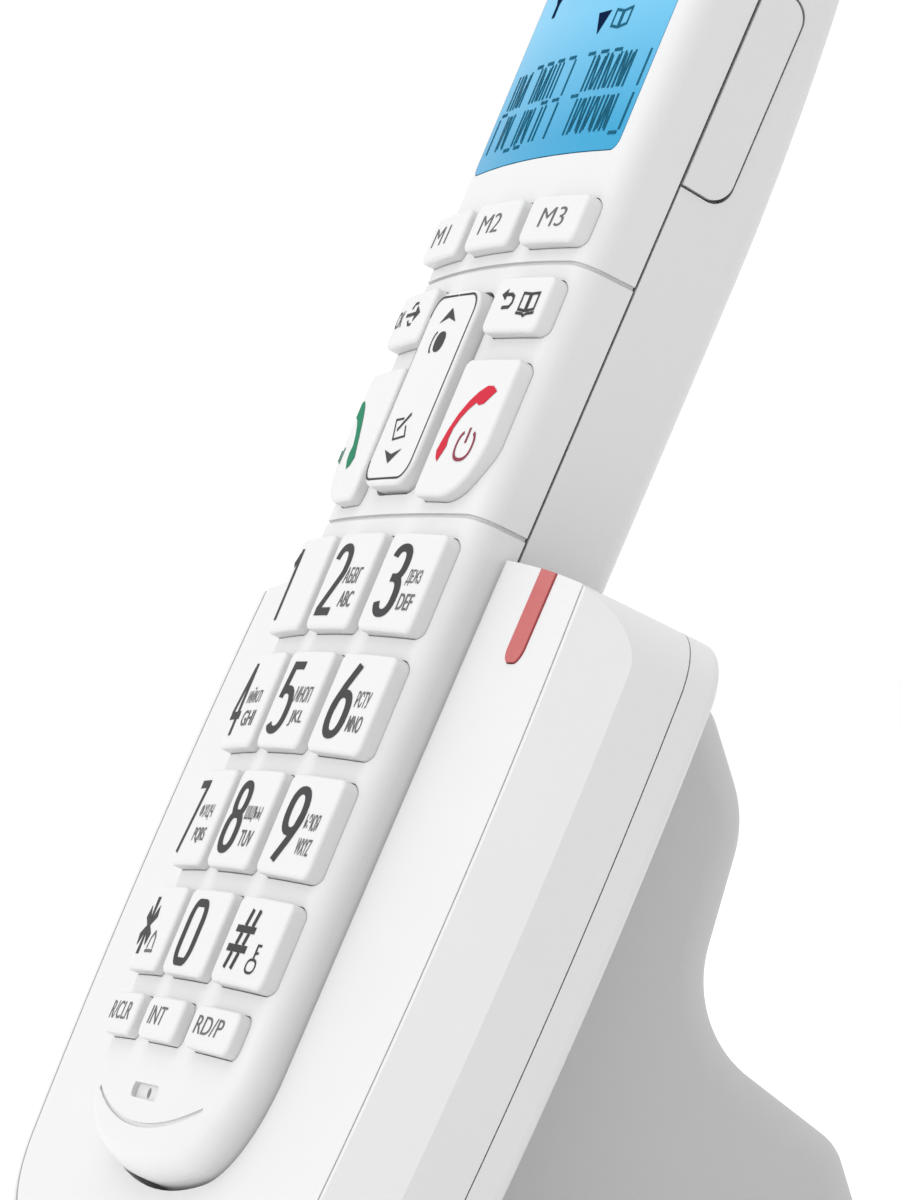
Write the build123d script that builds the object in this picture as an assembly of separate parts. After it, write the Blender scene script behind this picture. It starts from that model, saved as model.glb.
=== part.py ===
"""Cordless telephone: a big-key handset leaning back in a wide slanted charging base.

Everything that leans is drawn in the handset's own frame: u across, v up along the handset from just
under its bottom end, and depth counted backwards from the front face, which is tilted a little against
the parting plane. The stand and its foot are
drawn upright. All sizes are in millimetres and angles in degrees.
"""
import math
import os

from build123d import *

os.makedirs("parts", exist_ok=True)

# Fits shared by the whole phone
CLEAR = 0.3                    # open gap between pieces that move past each other
SEAM = 0.15                    # closed seam between pieces of one body
PIN_FIT = 0.05                 # radial play of a pin in its hole
PAST = 5.0                     # how far a cutting body runs past the surface it opens

# Stance
LEAN = 24.6                    # backward lean of the handset from upright
HANDSET_HEIGHT_OFF_TABLE = 18.8
FOOT_PAD_T = 1.0

# Handset case
HANDSET_W = 50.0
FOREHEAD_L = 22.1              # case above the display window
PARTING_DEPTH = 7.5
PARTING_GAP = 0.3
CASE_WALL = 1.8
CROWN_R = 200.0                # radius of the front face across the handset
FACE_TILT = 0.76               # the front half grows thicker towards the top by this angle
TILT_V = 45.0
END_BOW_R = 30.0               # rounding of the front face towards both ends
END_ROLL = 75.0
BOTTOM_BOW_V = 12.0
TOP_BOW_LEN = 9.5
BOTTOM_END_V = 1.0
BOTTOM_END_RISE = 5.0
TOP_END_RISE = 4.0
BOTTOM_CORNER_R = 13.0
TOP_CORNER_R = 14.0
FRONT_EDGE_R = 3.2
REAR_TAPER = 13.0
REAR_EDGE_R = 3.6
BACK_BOW_V = 112.0             # the back is straight up to here and then bends forward
BACK_BOW_R = 320.0

# Dividing grooves across the front cover
GROOVE_W = 0.5
GROOVE_DEPTH = 0.4
GROOVE_SPACE = 2.5             # from the digit keys up to the lower groove
UPPER_GROOVE_FALL = 0.6
LOWER_GROOVE_FALL = -1.2
THUMB_ARC_V = 5.9
THUMB_ARC_W = 37.0
THUMB_ARC_RISE = 3.2
THUMB_ARC_DEPTH = 0.25

# Keys
KEY_RISE = 1.5
KEY_FIT = 0.12                 # open gap round each key in the front cover
KEY_TRAVEL = 0.6
KEY_LIP = 0.6                  # how far the hidden lip reaches past the key's side
KEY_LIP_T = 0.6
LIP_SIDE_ROOM = 1.8            # the lips stop this far short of the case walls
KEY_EDGE_R = 0.5
KEY_CORNER_R = 1.2
KEY_GAP = 2.6                  # open space between two rows of keys
KEY_PITCH_U = 16.7
DIGIT_KEY_W = 13.8
DIGIT_KEY_H = 11.5
STAR_KEY_H = 10.0
SMALL_PITCH_U = 15.9
SMALL_KEY_W = 12.0
SMALL_KEY_H = 4.9
SMALL_ROW_V = 14.9
CONTROL_KEY_W = 13.6
CALL_KEY_H = 16.2
CALL_KEY_CORNER_R = 7.0
CALL_KEY_SPACE = 1.7           # from the lower groove up to the call keys
MENU_KEY_SPACE = 3.1           # from the call keys up to the menu keys
MENU_KEY_H = 6.6
MENU_SPACE = 2.3               # from the menu keys up to the upper groove
MEMORY_SPACE = 1.7             # from the upper groove up to the memory keys
MEMORY_KEY_H = 5.7

# Rocker between the control keys
NAV_KEY_W = 14.8
NAV_KEY_H = 23.4
NAV_KEY_CORNER_R = 3.4
NAV_GAP = 0.4
NAV_RISE = 1.8
NAV_RIB_R = 0.9
NAV_RIB_SHORT = 0.7            # the rib stops this far short of the rocker's sides
NAV_LIP_H = 4.0

# Side key on the right of the rear cover
SIDE_KEY_DROP = 0.8            # the side key starts this far below the display window
SIDE_KEY_H = 24.0
SIDE_KEY_W = 5.8
SIDE_KEY_R = 2.6
SIDE_KEY_PROUD = 0.25
SIDE_KEY_LIP = 0.8
SIDE_KEY_LIP_T = 0.8

# Display
LENS_SPACE = 5.9               # from the memory keys up to the display window
LENS_W = 44.0
LENS_H = 33.0
LENS_T = 1.2
LENS_CORNER_R = 1.4
LENS_LEDGE = 1.3
LCD_T = 1.8

# Circuit and sound parts of the handset
MEMBRANE_T = 0.6
MEMBRANE_W = 43.0
SHEET_MARGIN = 1.5
BOARD_T = 0.8
BOARD_MARGIN = 2.6
EARPIECE_R = 6.5
EARPIECE_T = 2.4
EARPIECE_DROP = 13.0
EAR_SLOT_W = 9.0
EAR_SLOT_H = 1.2
EAR_SLOT_PITCH = 2.4
EAR_SLOT_COUNT = 3
SPEAKER_R = 8.5
SPEAKER_T = 4.0
SPEAKER_SLOT_W = 10.0
SPEAKER_SLOT_H = 1.2
SPEAKER_SLOT_PITCH = 2.8
SPEAKER_SLOT_COUNT = 4
MIC_R = 2.2
MIC_T = 1.6
MIC_V = 9.5
MIC_SLOT_W = 9.0
MIC_SLOT_H = 1.7
MIC_SLOT_DEPTH = 0.6
MIC_HOLE_R = 0.6

# Battery compartment for two small cells
CELL_R = 5.0
CELL_L = 44.5
CELL_GAP = 0.3
CELL_PLAY = 0.3
CELL_CAP_R = 1.9
CELL_CAP_L = 0.8
TRAY_WALL = 1.0
TRAY_FLOOR = 0.5
SPRING_TAB_W = 8.0
SPRING_TAB_T = 0.4
DOOR_ABOVE_BASE = 6.9          # hinge axis above the base's top edge
DOOR_W = 27.0
DOOR_T = 1.5
DOOR_KNUCKLE_R = 1.3
DOOR_PIN_R = 0.8
DOOR_PIN_L = 1.6
LUG_HALF = 2.0

# Charging contacts and case screws
CONTACT_U = 9.0
CONTACT_V = 11.0
CONTACT_W = 3.6
CONTACT_H = 4.0
PIN_W = 3.0
PIN_H = 3.4
PIN_TAIL = 2.5
SCREW_HEAD_R = 2.1
SCREW_HEAD_T = 1.4
SCREW_R = 1.1
SCREW_SINK = 4.0
SCREW_TIP_DEPTH = 4.0
BOSS_R = 2.6
CASE_SCREW_U = 15.0
CASE_SCREW_LOW_V = 9.6

# Slanted plate of the base
PANEL_DEPTH = 6.0
PANEL_T = 2.0
PANEL_SEAM = 0.45              # width of the shallow groove round the front panel
PANEL_SEAM_DEPTH = 0.5
PANEL_LAND = 0.8               # narrow front land of the side frame outside the seam
BASE_HALF_W = 57.9
BASE_SIDE_R = 300.0
BASE_WIDEST_V = 40.5
BASE_TOP_V = 75.6
BASE_TOP_R = 333.0
BASE_BOTTOM_V = -12.5
BASE_TOP_CORNER_R = 8.0
BASE_BOTTOM_CORNER_R = 17.0
BEVEL_U = 4.1
BEVEL_END_DEPTH = 12.2
SEAM_DEPTH = 18.3
BASE_REAR_EDGE_R = 1.2
SHELL_WALL = 2.2
TROUGH_GAP = 0.6
TROUGH_WALL = 1.6
TROUGH_REST = 0.4              # gap between the handset's back and the trough's floor
TROUGH_FLOOR_T = 2.55
FRAME_SCREW_LOW_V = 8.0
FRAME_SCREW_TOP_V = 58.0
FRAME_SCREW_INSET = 4.6
FRAME_SCREW_SINK = 2.2
FRAME_BOSS_R = 3.2
FRAME_BOSS_DEPTH = 13.4

# Red light strip
LIGHT_INSET = 17.9             # from the base's widest side to the middle of the strip
LIGHT_W = 4.8
LIGHT_DROP = 10.4
LIGHT_T = 1.8
LIGHT_PROUD = 0.2
LIGHT_RETURN = 4.6
LIGHT_CORNER_R = 1.7
LAMP_W = 7.0
LAMP_H = 8.0
LAMP_T = 1.6

# Handset-finder key on the base's left side
PAGE_KEY_H = 11.0
PAGE_KEY_W = 4.2
PAGE_KEY_PROUD = 0.3
PAGE_KEY_LIP = 0.7
PAGE_KEY_LIP_T = 0.7

# Stand, given by the corners of its side view before rounding
STAND_HALF_W = 38.0
STAND_WALL = 2.4
STAND_EDGE_R = 4.0
STAND_TOP_Z = 70.5
STAND_SHOULDER_Y = 55.4
STAND_SHOULDER_R = 5.0
STAND_CREST_Y = 59.9
STAND_CREST_Z = 56.9
STAND_CREST_R = 13.0
STAND_NECK_Y = 53.1
STAND_NECK_Z = 35.1
STAND_NECK_R = 12.5
STAND_HEEL_Y = 70.3
STAND_HEEL_Z = 22.4
STAND_HEEL_R = 6.0
STAND_FOOT_Y = 73.2
STAND_FOOT_TOP_Z = 13.5
STAND_POST_R = 3.0
STAND_POST_LOW_Y = 27.0
STAND_POST_INSET = 8.0
STAND_POST_BITE = 0.6          # the posts run this far into the side walls
STAND_POST_TOP_Z = 15.0

# Bottom plate and pads
BOTTOM_PLATE_T = 2.0
PLATE_SCREW_SINK = 1.2
PLATE_SCREW_HEAD_T = 1.0
PAD_R = 5.0
PAD_U = 22.0
PAD_INSET = 9.0
PAD_RECESS = 0.6

# Sockets and board in the foot
BASE_BOARD_T = 1.6
BASE_BOARD_HALF_W = 29.0
BASE_BOARD_L = 40.0
JACK_RECESS = 0.8
LINE_JACK_U = -15.0
LINE_JACK_W = 13.0
LINE_JACK_H = 12.0
LINE_JACK_L = 15.0
LINE_SOCKET_W = 9.8
LINE_SOCKET_H = 6.8
LINE_SOCKET_L = 11.0
POWER_JACK_U = 15.0
POWER_JACK_W = 9.0
POWER_JACK_H = 11.0
POWER_JACK_L = 13.0
POWER_SOCKET_R = 2.9
POWER_SOCKET_L = 9.5
POWER_PIN_R = 1.0

# Heights that follow from the key rows, counted up from the handset's bottom end
STAR_ROW_V = SMALL_ROW_V + SMALL_KEY_H + KEY_GAP
LOW_DIGIT_ROW_V = STAR_ROW_V + STAR_KEY_H + KEY_GAP
MID_DIGIT_ROW_V = LOW_DIGIT_ROW_V + DIGIT_KEY_H + KEY_GAP
TOP_DIGIT_ROW_V = MID_DIGIT_ROW_V + DIGIT_KEY_H + KEY_GAP
LOWER_GROOVE_V = TOP_DIGIT_ROW_V + DIGIT_KEY_H + GROOVE_SPACE
CALL_KEY_V = LOWER_GROOVE_V + CALL_KEY_SPACE
MENU_KEY_V = CALL_KEY_V + CALL_KEY_H + MENU_KEY_SPACE
NAV_MID_V = (CALL_KEY_V + MENU_KEY_V + MENU_KEY_H) / 2
UPPER_GROOVE_V = MENU_KEY_V + MENU_KEY_H + MENU_SPACE
MEMORY_ROW_V = UPPER_GROOVE_V + MEMORY_SPACE
LENS_V = MEMORY_ROW_V + MEMORY_KEY_H + LENS_SPACE
LENS_TOP_V = LENS_V + LENS_H
HANDSET_L = LENS_TOP_V + FOREHEAD_L
EARPIECE_V = HANDSET_L - EARPIECE_DROP
CASE_SCREW_TOP_V = LENS_TOP_V + BOSS_R + LENS_LEDGE + 2 * CASE_WALL
SIDE_KEY_V = LENS_V - SIDE_KEY_DROP
SHEET_LOW_V = SMALL_ROW_V - SHEET_MARGIN
DOOR_V = BASE_TOP_V + DOOR_ABOVE_BASE
DOOR_L = CELL_L + CELL_CAP_L + 2 * (SPRING_TAB_T + TRAY_WALL + CELL_PLAY) + 2 * DOOR_KNUCKLE_R
SPEAKER_V = DOOR_V + DOOR_L + SPEAKER_R + BOSS_R + 2 * CASE_WALL

# Depths that follow from the stack of pieces behind the front face
FACE_SLOPE = math.tan(math.radians(FACE_TILT))
HALF_W = HANDSET_W / 2
LIP_TOP = CASE_WALL + CLEAR
LIP_BOTTOM = LIP_TOP + KEY_LIP_T
MEMBRANE_TOP = LIP_BOTTOM + KEY_TRAVEL + CLEAR
MEMBRANE_BOTTOM = MEMBRANE_TOP + MEMBRANE_T
MEMBRANE_SAG = (MEMBRANE_W / 2) ** 2 / (2 * CROWN_R)
BOARD_TOP = MEMBRANE_BOTTOM + MEMBRANE_SAG + SEAM + FACE_SLOPE * (TILT_V - SHEET_LOW_V)
BOARD_BOTTOM = BOARD_TOP + BOARD_T
FRONT_FLOOR = PARTING_DEPTH - PARTING_GAP / 2
REAR_START = PARTING_DEPTH + PARTING_GAP / 2
TRAY_START = BOARD_BOTTOM + SEAM
CELL_DEPTH = TRAY_START + TRAY_FLOOR + SEAM + CELL_R
DOOR_INNER = CELL_DEPTH + CELL_R + CLEAR
HANDSET_T = DOOR_INNER + DOOR_T
LENS_SAG = (LENS_W / 2) ** 2 / (2 * CROWN_R)
LCD_TOP = LENS_T + LENS_SAG - FACE_SLOPE * (LENS_V - TILT_V)
BACKLIGHT_TOP = LCD_TOP + LCD_T
TROUGH_FLOOR = HANDSET_T + TROUGH_REST
BASE_REAR_DEPTH = TROUGH_FLOOR + TROUGH_FLOOR_T
LIP_HALF_SPAN = HALF_W - CASE_WALL - LIP_SIDE_ROOM
NAV_RIB_L = NAV_KEY_W - 2 * NAV_RIB_SHORT
NAV_RIB_DEPTH = LIP_BOTTOM - CLEAR - FACE_SLOPE * (NAV_MID_V - TILT_V)
LIGHT_U = BASE_HALF_W - LIGHT_INSET

LEAN_SIN = math.sin(math.radians(LEAN))
LEAN_COS = math.cos(math.radians(LEAN))
lean_frame = Plane(
    origin=(0, 0, HANDSET_HEIGHT_OFF_TABLE),
    x_dir=(1, 0, 0),
    z_dir=(0, -LEAN_COS, LEAN_SIN),
)
face_tilt = Pos(0, TILT_V, 0) * Rot(FACE_TILT, 0, 0) * Pos(0, -TILT_V, 0)
pieces = {}


def placed(location, shape):
    """Carry a piece, or every member of a group of equal pieces, to a place."""
    if isinstance(shape, list):
        return [location * member for member in shape]
    return location * shape


def leaning(shape):
    """Carry a piece from the handset's own frame into the upright one."""
    return placed(lean_frame.location, shape)


def prism(face, deep, shallow):
    """Plan outline swept between two depths."""
    return extrude(Pos(0, 0, -deep) * face, amount=deep - shallow)


def block(u_from, u_to, v_from, v_to, deep, shallow):
    """Box given by its limits in the handset's frame."""
    width = u_to - u_from
    height = v_to - v_from
    plan = Pos((u_from + u_to) / 2, (v_from + v_to) / 2) * Rectangle(width, height)
    return prism(plan, deep, shallow)


def disc(u, v, radius, deep, shallow):
    """Round post or hole running front to back."""
    return prism(Pos(u, v) * Circle(radius), deep, shallow)


def crown(inset):
    """Everything behind the crowned front face, sunk by the inset."""
    round_bar = Rot(90, 0, 0) * Cylinder(CROWN_R - inset, 2 * HANDSET_L)
    return face_tilt * Pos(0, HANDSET_L / 2, -CROWN_R) * round_bar


def layer(face, top, bottom):
    """Plan outline between two depths that both follow the crown of the front face."""
    slab = prism(face, bottom + PAST, top - PAST)
    return (slab & crown(top)) - crown(bottom)


def handset_outline(inset):
    """Front view of the case: straight sides, bowed ends, rounded corners."""
    top_side_v = HANDSET_L - TOP_END_RISE
    low_side_v = BOTTOM_END_V + BOTTOM_END_RISE
    bottom = ThreePointArc((-HALF_W, low_side_v), (0, BOTTOM_END_V), (HALF_W, low_side_v))
    right = Line((HALF_W, low_side_v), (HALF_W, top_side_v))
    top = ThreePointArc((HALF_W, top_side_v), (0, HANDSET_L), (-HALF_W, top_side_v))
    left = Line((-HALF_W, top_side_v), (-HALF_W, low_side_v))
    plan = Sketch() + make_face([bottom, right, top, left])
    corners = plan.vertices()
    plan = fillet(corners.filter_by(lambda corner: corner.Y < HANDSET_L / 2), BOTTOM_CORNER_R)
    upper = plan.vertices().filter_by(lambda corner: abs(corner.Y - top_side_v) < SEAM)
    plan = fillet(upper, TOP_CORNER_R)
    if inset == 0:
        return plan
    return offset(plan, amount=-inset)


def front_run(inset):
    """Crowned section run along the handset and rolled down over both ends."""
    radius = CROWN_R - inset
    side = math.sqrt(radius ** 2 - HANDSET_W ** 2) - CROWN_R
    low = inset - END_BOW_R + SEAM
    arc = ThreePointArc((-HANDSET_W, side), (0, -inset), (HANDSET_W, side))
    right = Line((HANDSET_W, side), (HANDSET_W, low - side))
    floor = Line((HANDSET_W, low - side), (-HANDSET_W, low - side))
    left = Line((-HANDSET_W, low - side), (-HANDSET_W, side))
    section = make_face([arc, right, floor, left])
    top_bow_v = HANDSET_L - TOP_BOW_LEN
    start = Plane(origin=(0, BOTTOM_BOW_V, 0), x_dir=(1, 0, 0), z_dir=(0, -1, 0))
    low_section = start.location * section
    high_section = Pos(0, top_bow_v - BOTTOM_BOW_V, 0) * low_section
    straight = extrude(low_section, amount=BOTTOM_BOW_V - top_bow_v)
    low_axis = Axis((0, BOTTOM_BOW_V, -END_BOW_R), (1, 0, 0))
    high_axis = Axis((0, top_bow_v, -END_BOW_R), (1, 0, 0))
    low_end = revolve(low_section, axis=low_axis, revolution_arc=END_ROLL)
    high_end = revolve(high_section, axis=high_axis, revolution_arc=-END_ROLL)
    return face_tilt * (straight + low_end + high_end)


def front_body(inset, floor):
    """Front half of the case as one rounded lump, every outer surface sunk by the inset."""
    lump = prism(handset_outline(inset), floor, -PAST) & front_run(inset)
    walls = lump.faces().filter_by(lambda face: abs(face.normal_at().Z) < SEAM)
    rim = walls.edges().filter_by(lambda edge: edge.center().Z > SEAM - floor)
    rim = rim.filter_by(lambda edge: abs(edge.tangent_at(0.5).Z) < 1 - SEAM)
    return fillet(rim, FRONT_EDGE_R - inset)


def back_depth(v):
    """Depth of the handset's back at a height: straight, then bending forward."""
    reach = max(v - BACK_BOW_V, 0)
    return HANDSET_T - BACK_BOW_R + math.sqrt(BACK_BOW_R ** 2 - reach ** 2)


def rear_body(inset):
    """Rear half of the case as one tapered lump, every outer surface sunk by the inset."""
    start = Pos(0, 0, -REAR_START) * handset_outline(inset)
    lump = extrude(start, amount=HANDSET_T, dir=(0, 0, -1), taper=REAR_TAPER)
    radius = BACK_BOW_R - inset
    end_v = HANDSET_L + PAST
    mid_v = (BACK_BOW_V + end_v) / 2
    centre_z = BACK_BOW_R - HANDSET_T
    bend = ThreePointArc(
        (BACK_BOW_V, centre_z - radius),
        (mid_v, centre_z - math.sqrt(radius ** 2 - (mid_v - BACK_BOW_V) ** 2)),
        (end_v, centre_z - math.sqrt(radius ** 2 - (end_v - BACK_BOW_V) ** 2)),
    )
    back = Line((-PAST, centre_z - radius), (BACK_BOW_V, centre_z - radius))
    high = Line(bend @ 1, (end_v, 0))
    front = Line((end_v, 0), (-PAST, 0))
    low = Line((-PAST, 0), (-PAST, centre_z - radius))
    profile = make_face([back, bend, high, front, low])
    lump = lump & extrude(Plane.YZ.location * profile, amount=HANDSET_W, both=True)
    backs = lump.faces().filter_by(lambda face: face.normal_at().Z < SEAM - 1 + SEAM)
    rim = backs.edges().filter_by(lambda edge: abs(edge.center().Y - BACK_BOW_V) > SEAM)
    return fillet(rim, max(REAR_EDGE_R - inset, CLEAR))


def arc_band(mid_v, half_span, fall, width):
    """Thin arched strip across the front view; a negative fall turns its ends up."""
    edge = width / 2
    lower = ThreePointArc(
        (-half_span, mid_v - fall - edge), (0, mid_v - edge), (half_span, mid_v - fall - edge)
    )
    upper = ThreePointArc(
        (half_span, mid_v - fall + edge), (0, mid_v + edge), (-half_span, mid_v - fall + edge)
    )
    return make_face([lower, Line(lower @ 1, upper @ 0), upper, Line(upper @ 1, lower @ 0)])


def slot_column(u, v, width, height, pitch, count):
    """Plan of a short column of rounded sound slots."""
    slots = Sketch()
    for number in range(count):
        slot_v = v + (number - (count - 1) / 2) * pitch
        slots += Pos(u, slot_v) * RectangleRounded(width, height, height / 2 - SEAM)
    return slots


def rounded_key(u, v, width, height, radius):
    """Plan of a plain key standing on its lower edge."""
    return Pos(u, v + height / 2) * RectangleRounded(width, height, radius)


def call_key(side):
    """Plan of a call key whose lower outer corner is swept in a wide curve."""
    u = side * CONTROL_U
    plan = Pos(u, CALL_KEY_V + CALL_KEY_H / 2) * Rectangle(CONTROL_KEY_W, CALL_KEY_H)
    swept = plan.vertices().sort_by(lambda corner: side * corner.X - corner.Y)[-1]
    plan = fillet(swept, CALL_KEY_CORNER_R)
    middle_u = u - side * SEAM
    square = plan.vertices().filter_by(
        lambda corner: corner.Y > CALL_KEY_V + CALL_KEY_H - SEAM
        or side * (corner.X - middle_u) < SEAM - CONTROL_KEY_W / 2
    )
    return fillet(square, KEY_CORNER_R)


# Key plans: three digit rows with the star row and the small row below, control keys above
CONTROL_U = KEY_PITCH_U + DIGIT_KEY_W / 2 - CONTROL_KEY_W / 2
rows = (
    (TOP_DIGIT_ROW_V, KEY_PITCH_U, DIGIT_KEY_W, DIGIT_KEY_H, ("key_1", "key_2", "key_3")),
    (MID_DIGIT_ROW_V, KEY_PITCH_U, DIGIT_KEY_W, DIGIT_KEY_H, ("key_4", "key_5", "key_6")),
    (LOW_DIGIT_ROW_V, KEY_PITCH_U, DIGIT_KEY_W, DIGIT_KEY_H, ("key_7", "key_8", "key_9")),
    (STAR_ROW_V, KEY_PITCH_U, DIGIT_KEY_W, STAR_KEY_H, ("key_star", "key_0", "key_hash")),
    (SMALL_ROW_V, SMALL_PITCH_U, SMALL_KEY_W, SMALL_KEY_H, ("key_clear", "key_int", "key_redial")),
    (MEMORY_ROW_V, KEY_PITCH_U, DIGIT_KEY_W, MEMORY_KEY_H, ("key_m1", "key_m2", "key_m3")),
)
key_plans = {}
for row_v, pitch, width, height, names in rows:
    for column, name in enumerate(names):
        key_plans[name] = rounded_key((column - 1) * pitch, row_v, width, height, KEY_CORNER_R)
key_plans["key_ok"] = rounded_key(-CONTROL_U, MENU_KEY_V, CONTROL_KEY_W, MENU_KEY_H, KEY_CORNER_R)
key_plans["key_back"] = rounded_key(CONTROL_U, MENU_KEY_V, CONTROL_KEY_W, MENU_KEY_H, KEY_CORNER_R)
key_plans["key_talk"] = call_key(-1)
key_plans["key_end"] = call_key(1)
nav_plan = Pos(0, NAV_MID_V) * RectangleRounded(NAV_KEY_W, NAV_KEY_H, NAV_KEY_CORNER_R)

# Push keys: a crowned cap and, under the cover, a lip that stops it from falling out
lip_span = Pos(0, HANDSET_L / 2) * Rectangle(2 * LIP_HALF_SPAN, HANDSET_L)
for name, plan in key_plans.items():
    cap = layer(plan, -KEY_RISE, LIP_BOTTOM)
    cap_face = cap.faces().sort_by(Axis.Z)[-1]
    cap = fillet(cap_face.edges(), KEY_EDGE_R)
    lip = layer(offset(plan, amount=KEY_LIP) & lip_span, LIP_TOP, LIP_BOTTOM)
    pieces[name] = cap + lip

# Rocker: a longer cap on a round cross rib, held by a lip only beside the rib
nav_cap = layer(nav_plan, -NAV_RISE, LIP_BOTTOM)
nav_cap = fillet(nav_cap.faces().sort_by(Axis.Z)[-1].edges(), KEY_EDGE_R)
nav_rib = Pos(0, NAV_MID_V, -NAV_RIB_DEPTH) * Rot(0, 90, 0) * Cylinder(NAV_RIB_R, NAV_RIB_L)
nav_lip = layer(Pos(0, NAV_MID_V) * Rectangle(NAV_KEY_W + 2 * KEY_LIP, NAV_LIP_H), LIP_TOP, LIP_BOTTOM)
pieces["key_nav"] = nav_cap + nav_rib + nav_lip

# Front cover: hollow shell with openings for the keys, the display and the sound slots
front_lump = front_body(0, FRONT_FLOOR)
front_hollow = front_body(CASE_WALL, PARTING_DEPTH + PAST)
cover = front_lump - front_hollow
for v in (CASE_SCREW_LOW_V, CASE_SCREW_TOP_V):
    for side in (-1, 1):
        post = disc(side * CASE_SCREW_U, v, BOSS_R, FRONT_FLOOR, -PAST) & front_lump
        cover += post
        cover -= disc(side * CASE_SCREW_U, v, SCREW_R + PIN_FIT, PARTING_DEPTH, SCREW_TIP_DEPTH - SEAM)
for plan in key_plans.values():
    cover -= layer(offset(plan, amount=KEY_FIT), -PAST, MEMBRANE_TOP)
cover -= layer(offset(nav_plan, amount=NAV_GAP), -PAST, MEMBRANE_TOP)
lens_plan = Pos(0, LENS_V + LENS_H / 2) * RectangleRounded(LENS_W, LENS_H, LENS_CORNER_R)
cover -= layer(offset(lens_plan, amount=SEAM), -PAST, LENS_T)
cover -= layer(offset(lens_plan, amount=-LENS_LEDGE), -PAST, PARTING_DEPTH)
grooves = prism(arc_band(UPPER_GROOVE_V, HANDSET_W, UPPER_GROOVE_FALL, GROOVE_W), PARTING_DEPTH, -PAST)
grooves += prism(arc_band(LOWER_GROOVE_V, HANDSET_W, LOWER_GROOVE_FALL, GROOVE_W), PARTING_DEPTH, -PAST)
cover -= grooves - front_body(GROOVE_DEPTH, PARTING_DEPTH + PAST)
thumb_arc = prism(arc_band(THUMB_ARC_V, THUMB_ARC_W / 2, -THUMB_ARC_RISE, GROOVE_W), PARTING_DEPTH, -PAST)
cover -= thumb_arc - front_body(THUMB_ARC_DEPTH, PARTING_DEPTH + PAST)
ear_slots = slot_column(0, EARPIECE_V, EAR_SLOT_W, EAR_SLOT_H, EAR_SLOT_PITCH, EAR_SLOT_COUNT)
cover -= prism(ear_slots, PARTING_DEPTH, -PAST)
mic_slot = prism(slot_column(0, MIC_V, MIC_SLOT_W, MIC_SLOT_H, MIC_SLOT_H, 1), PARTING_DEPTH, -PAST)
cover -= mic_slot - front_body(MIC_SLOT_DEPTH, PARTING_DEPTH + PAST)
cover -= disc(0, MIC_V, MIC_HOLE_R, PARTING_DEPTH, -PAST)
pieces["handset_front_cover"] = cover

# Rear cover: tapered shell, opening for the battery door with two hinge lugs, slots and contacts
rear_lump = rear_body(0)
rear_hollow = rear_body(CASE_WALL)
shell = rear_lump - rear_hollow
door_half = DOOR_W / 2
door_top_v = DOOR_V + DOOR_L
hinge_depth = HANDSET_T - DOOR_KNUCKLE_R
opening_low_v = DOOR_V - DOOR_KNUCKLE_R - CLEAR
for side in (-1, 1):
    inner_u = side * (door_half + CLEAR)
    outer_u = side * (door_half + CLEAR + DOOR_PIN_L + CLEAR)
    lug = block(
        min(inner_u, outer_u),
        max(inner_u, outer_u),
        DOOR_V - LUG_HALF,
        DOOR_V + LUG_HALF,
        HANDSET_T,
        hinge_depth - LUG_HALF,
    )
    shell += lug & rear_lump
sleeve_r = SCREW_HEAD_R + CLEAR + CASE_WALL
for v in (CASE_SCREW_LOW_V, CASE_SCREW_TOP_V):
    for side in (-1, 1):
        shell += disc(side * CASE_SCREW_U, v, sleeve_r, HANDSET_T, REAR_START) & rear_lump
        seat = back_depth(v) - SCREW_SINK
        shell -= disc(side * CASE_SCREW_U, v, SCREW_HEAD_R + SEAM, HANDSET_T + PAST, seat)
        shell -= disc(side * CASE_SCREW_U, v, SCREW_R + SEAM, HANDSET_T, REAR_START - SEAM)
door_room = block(
    -door_half - CLEAR, door_half + CLEAR, opening_low_v, door_top_v + CLEAR, HANDSET_T + PAST, REAR_START
)
shell -= door_room
hinge_hole = Cylinder(DOOR_PIN_R + PIN_FIT, DOOR_W + 2 * (CLEAR + DOOR_PIN_L + SEAM))
shell -= Pos(0, DOOR_V, -hinge_depth) * Rot(0, 90, 0) * hinge_hole
speaker_slots = slot_column(
    0, SPEAKER_V, SPEAKER_SLOT_W, SPEAKER_SLOT_H, SPEAKER_SLOT_PITCH, SPEAKER_SLOT_COUNT
)
shell -= prism(speaker_slots, HANDSET_T + PAST, back_depth(SPEAKER_V) - SPEAKER_T)
for side in (-1, 1):
    window = Pos(side * CONTACT_U, CONTACT_V) * Rectangle(CONTACT_W + 2 * SEAM, CONTACT_H + 2 * SEAM)
    shell -= prism(window, HANDSET_T + PAST, HANDSET_T - 2 * CASE_WALL)
side_mid = REAR_START + SIDE_KEY_W / 2


def side_key_plan(grow):
    """Side view of the side key: square at the parting line, rounded at the back."""
    height = SIDE_KEY_H + 2 * grow
    width = SIDE_KEY_W + grow
    plan = Pos(SIDE_KEY_V + SIDE_KEY_H / 2, -REAR_START - width / 2) * Rectangle(height, width)
    rear = plan.vertices().filter_by(lambda corner: corner.Y < -side_mid)
    return fillet(rear, SIDE_KEY_R)


def sideways(face, reach):
    """Side-view outline run outwards through the right wall."""
    return extrude(Plane.YZ.location * face, amount=reach)


shell -= sideways(side_key_plan(CLEAR), HANDSET_W) - sideways(side_key_plan(CLEAR), HALF_W / 2)
pieces["handset_rear_cover"] = shell

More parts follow.
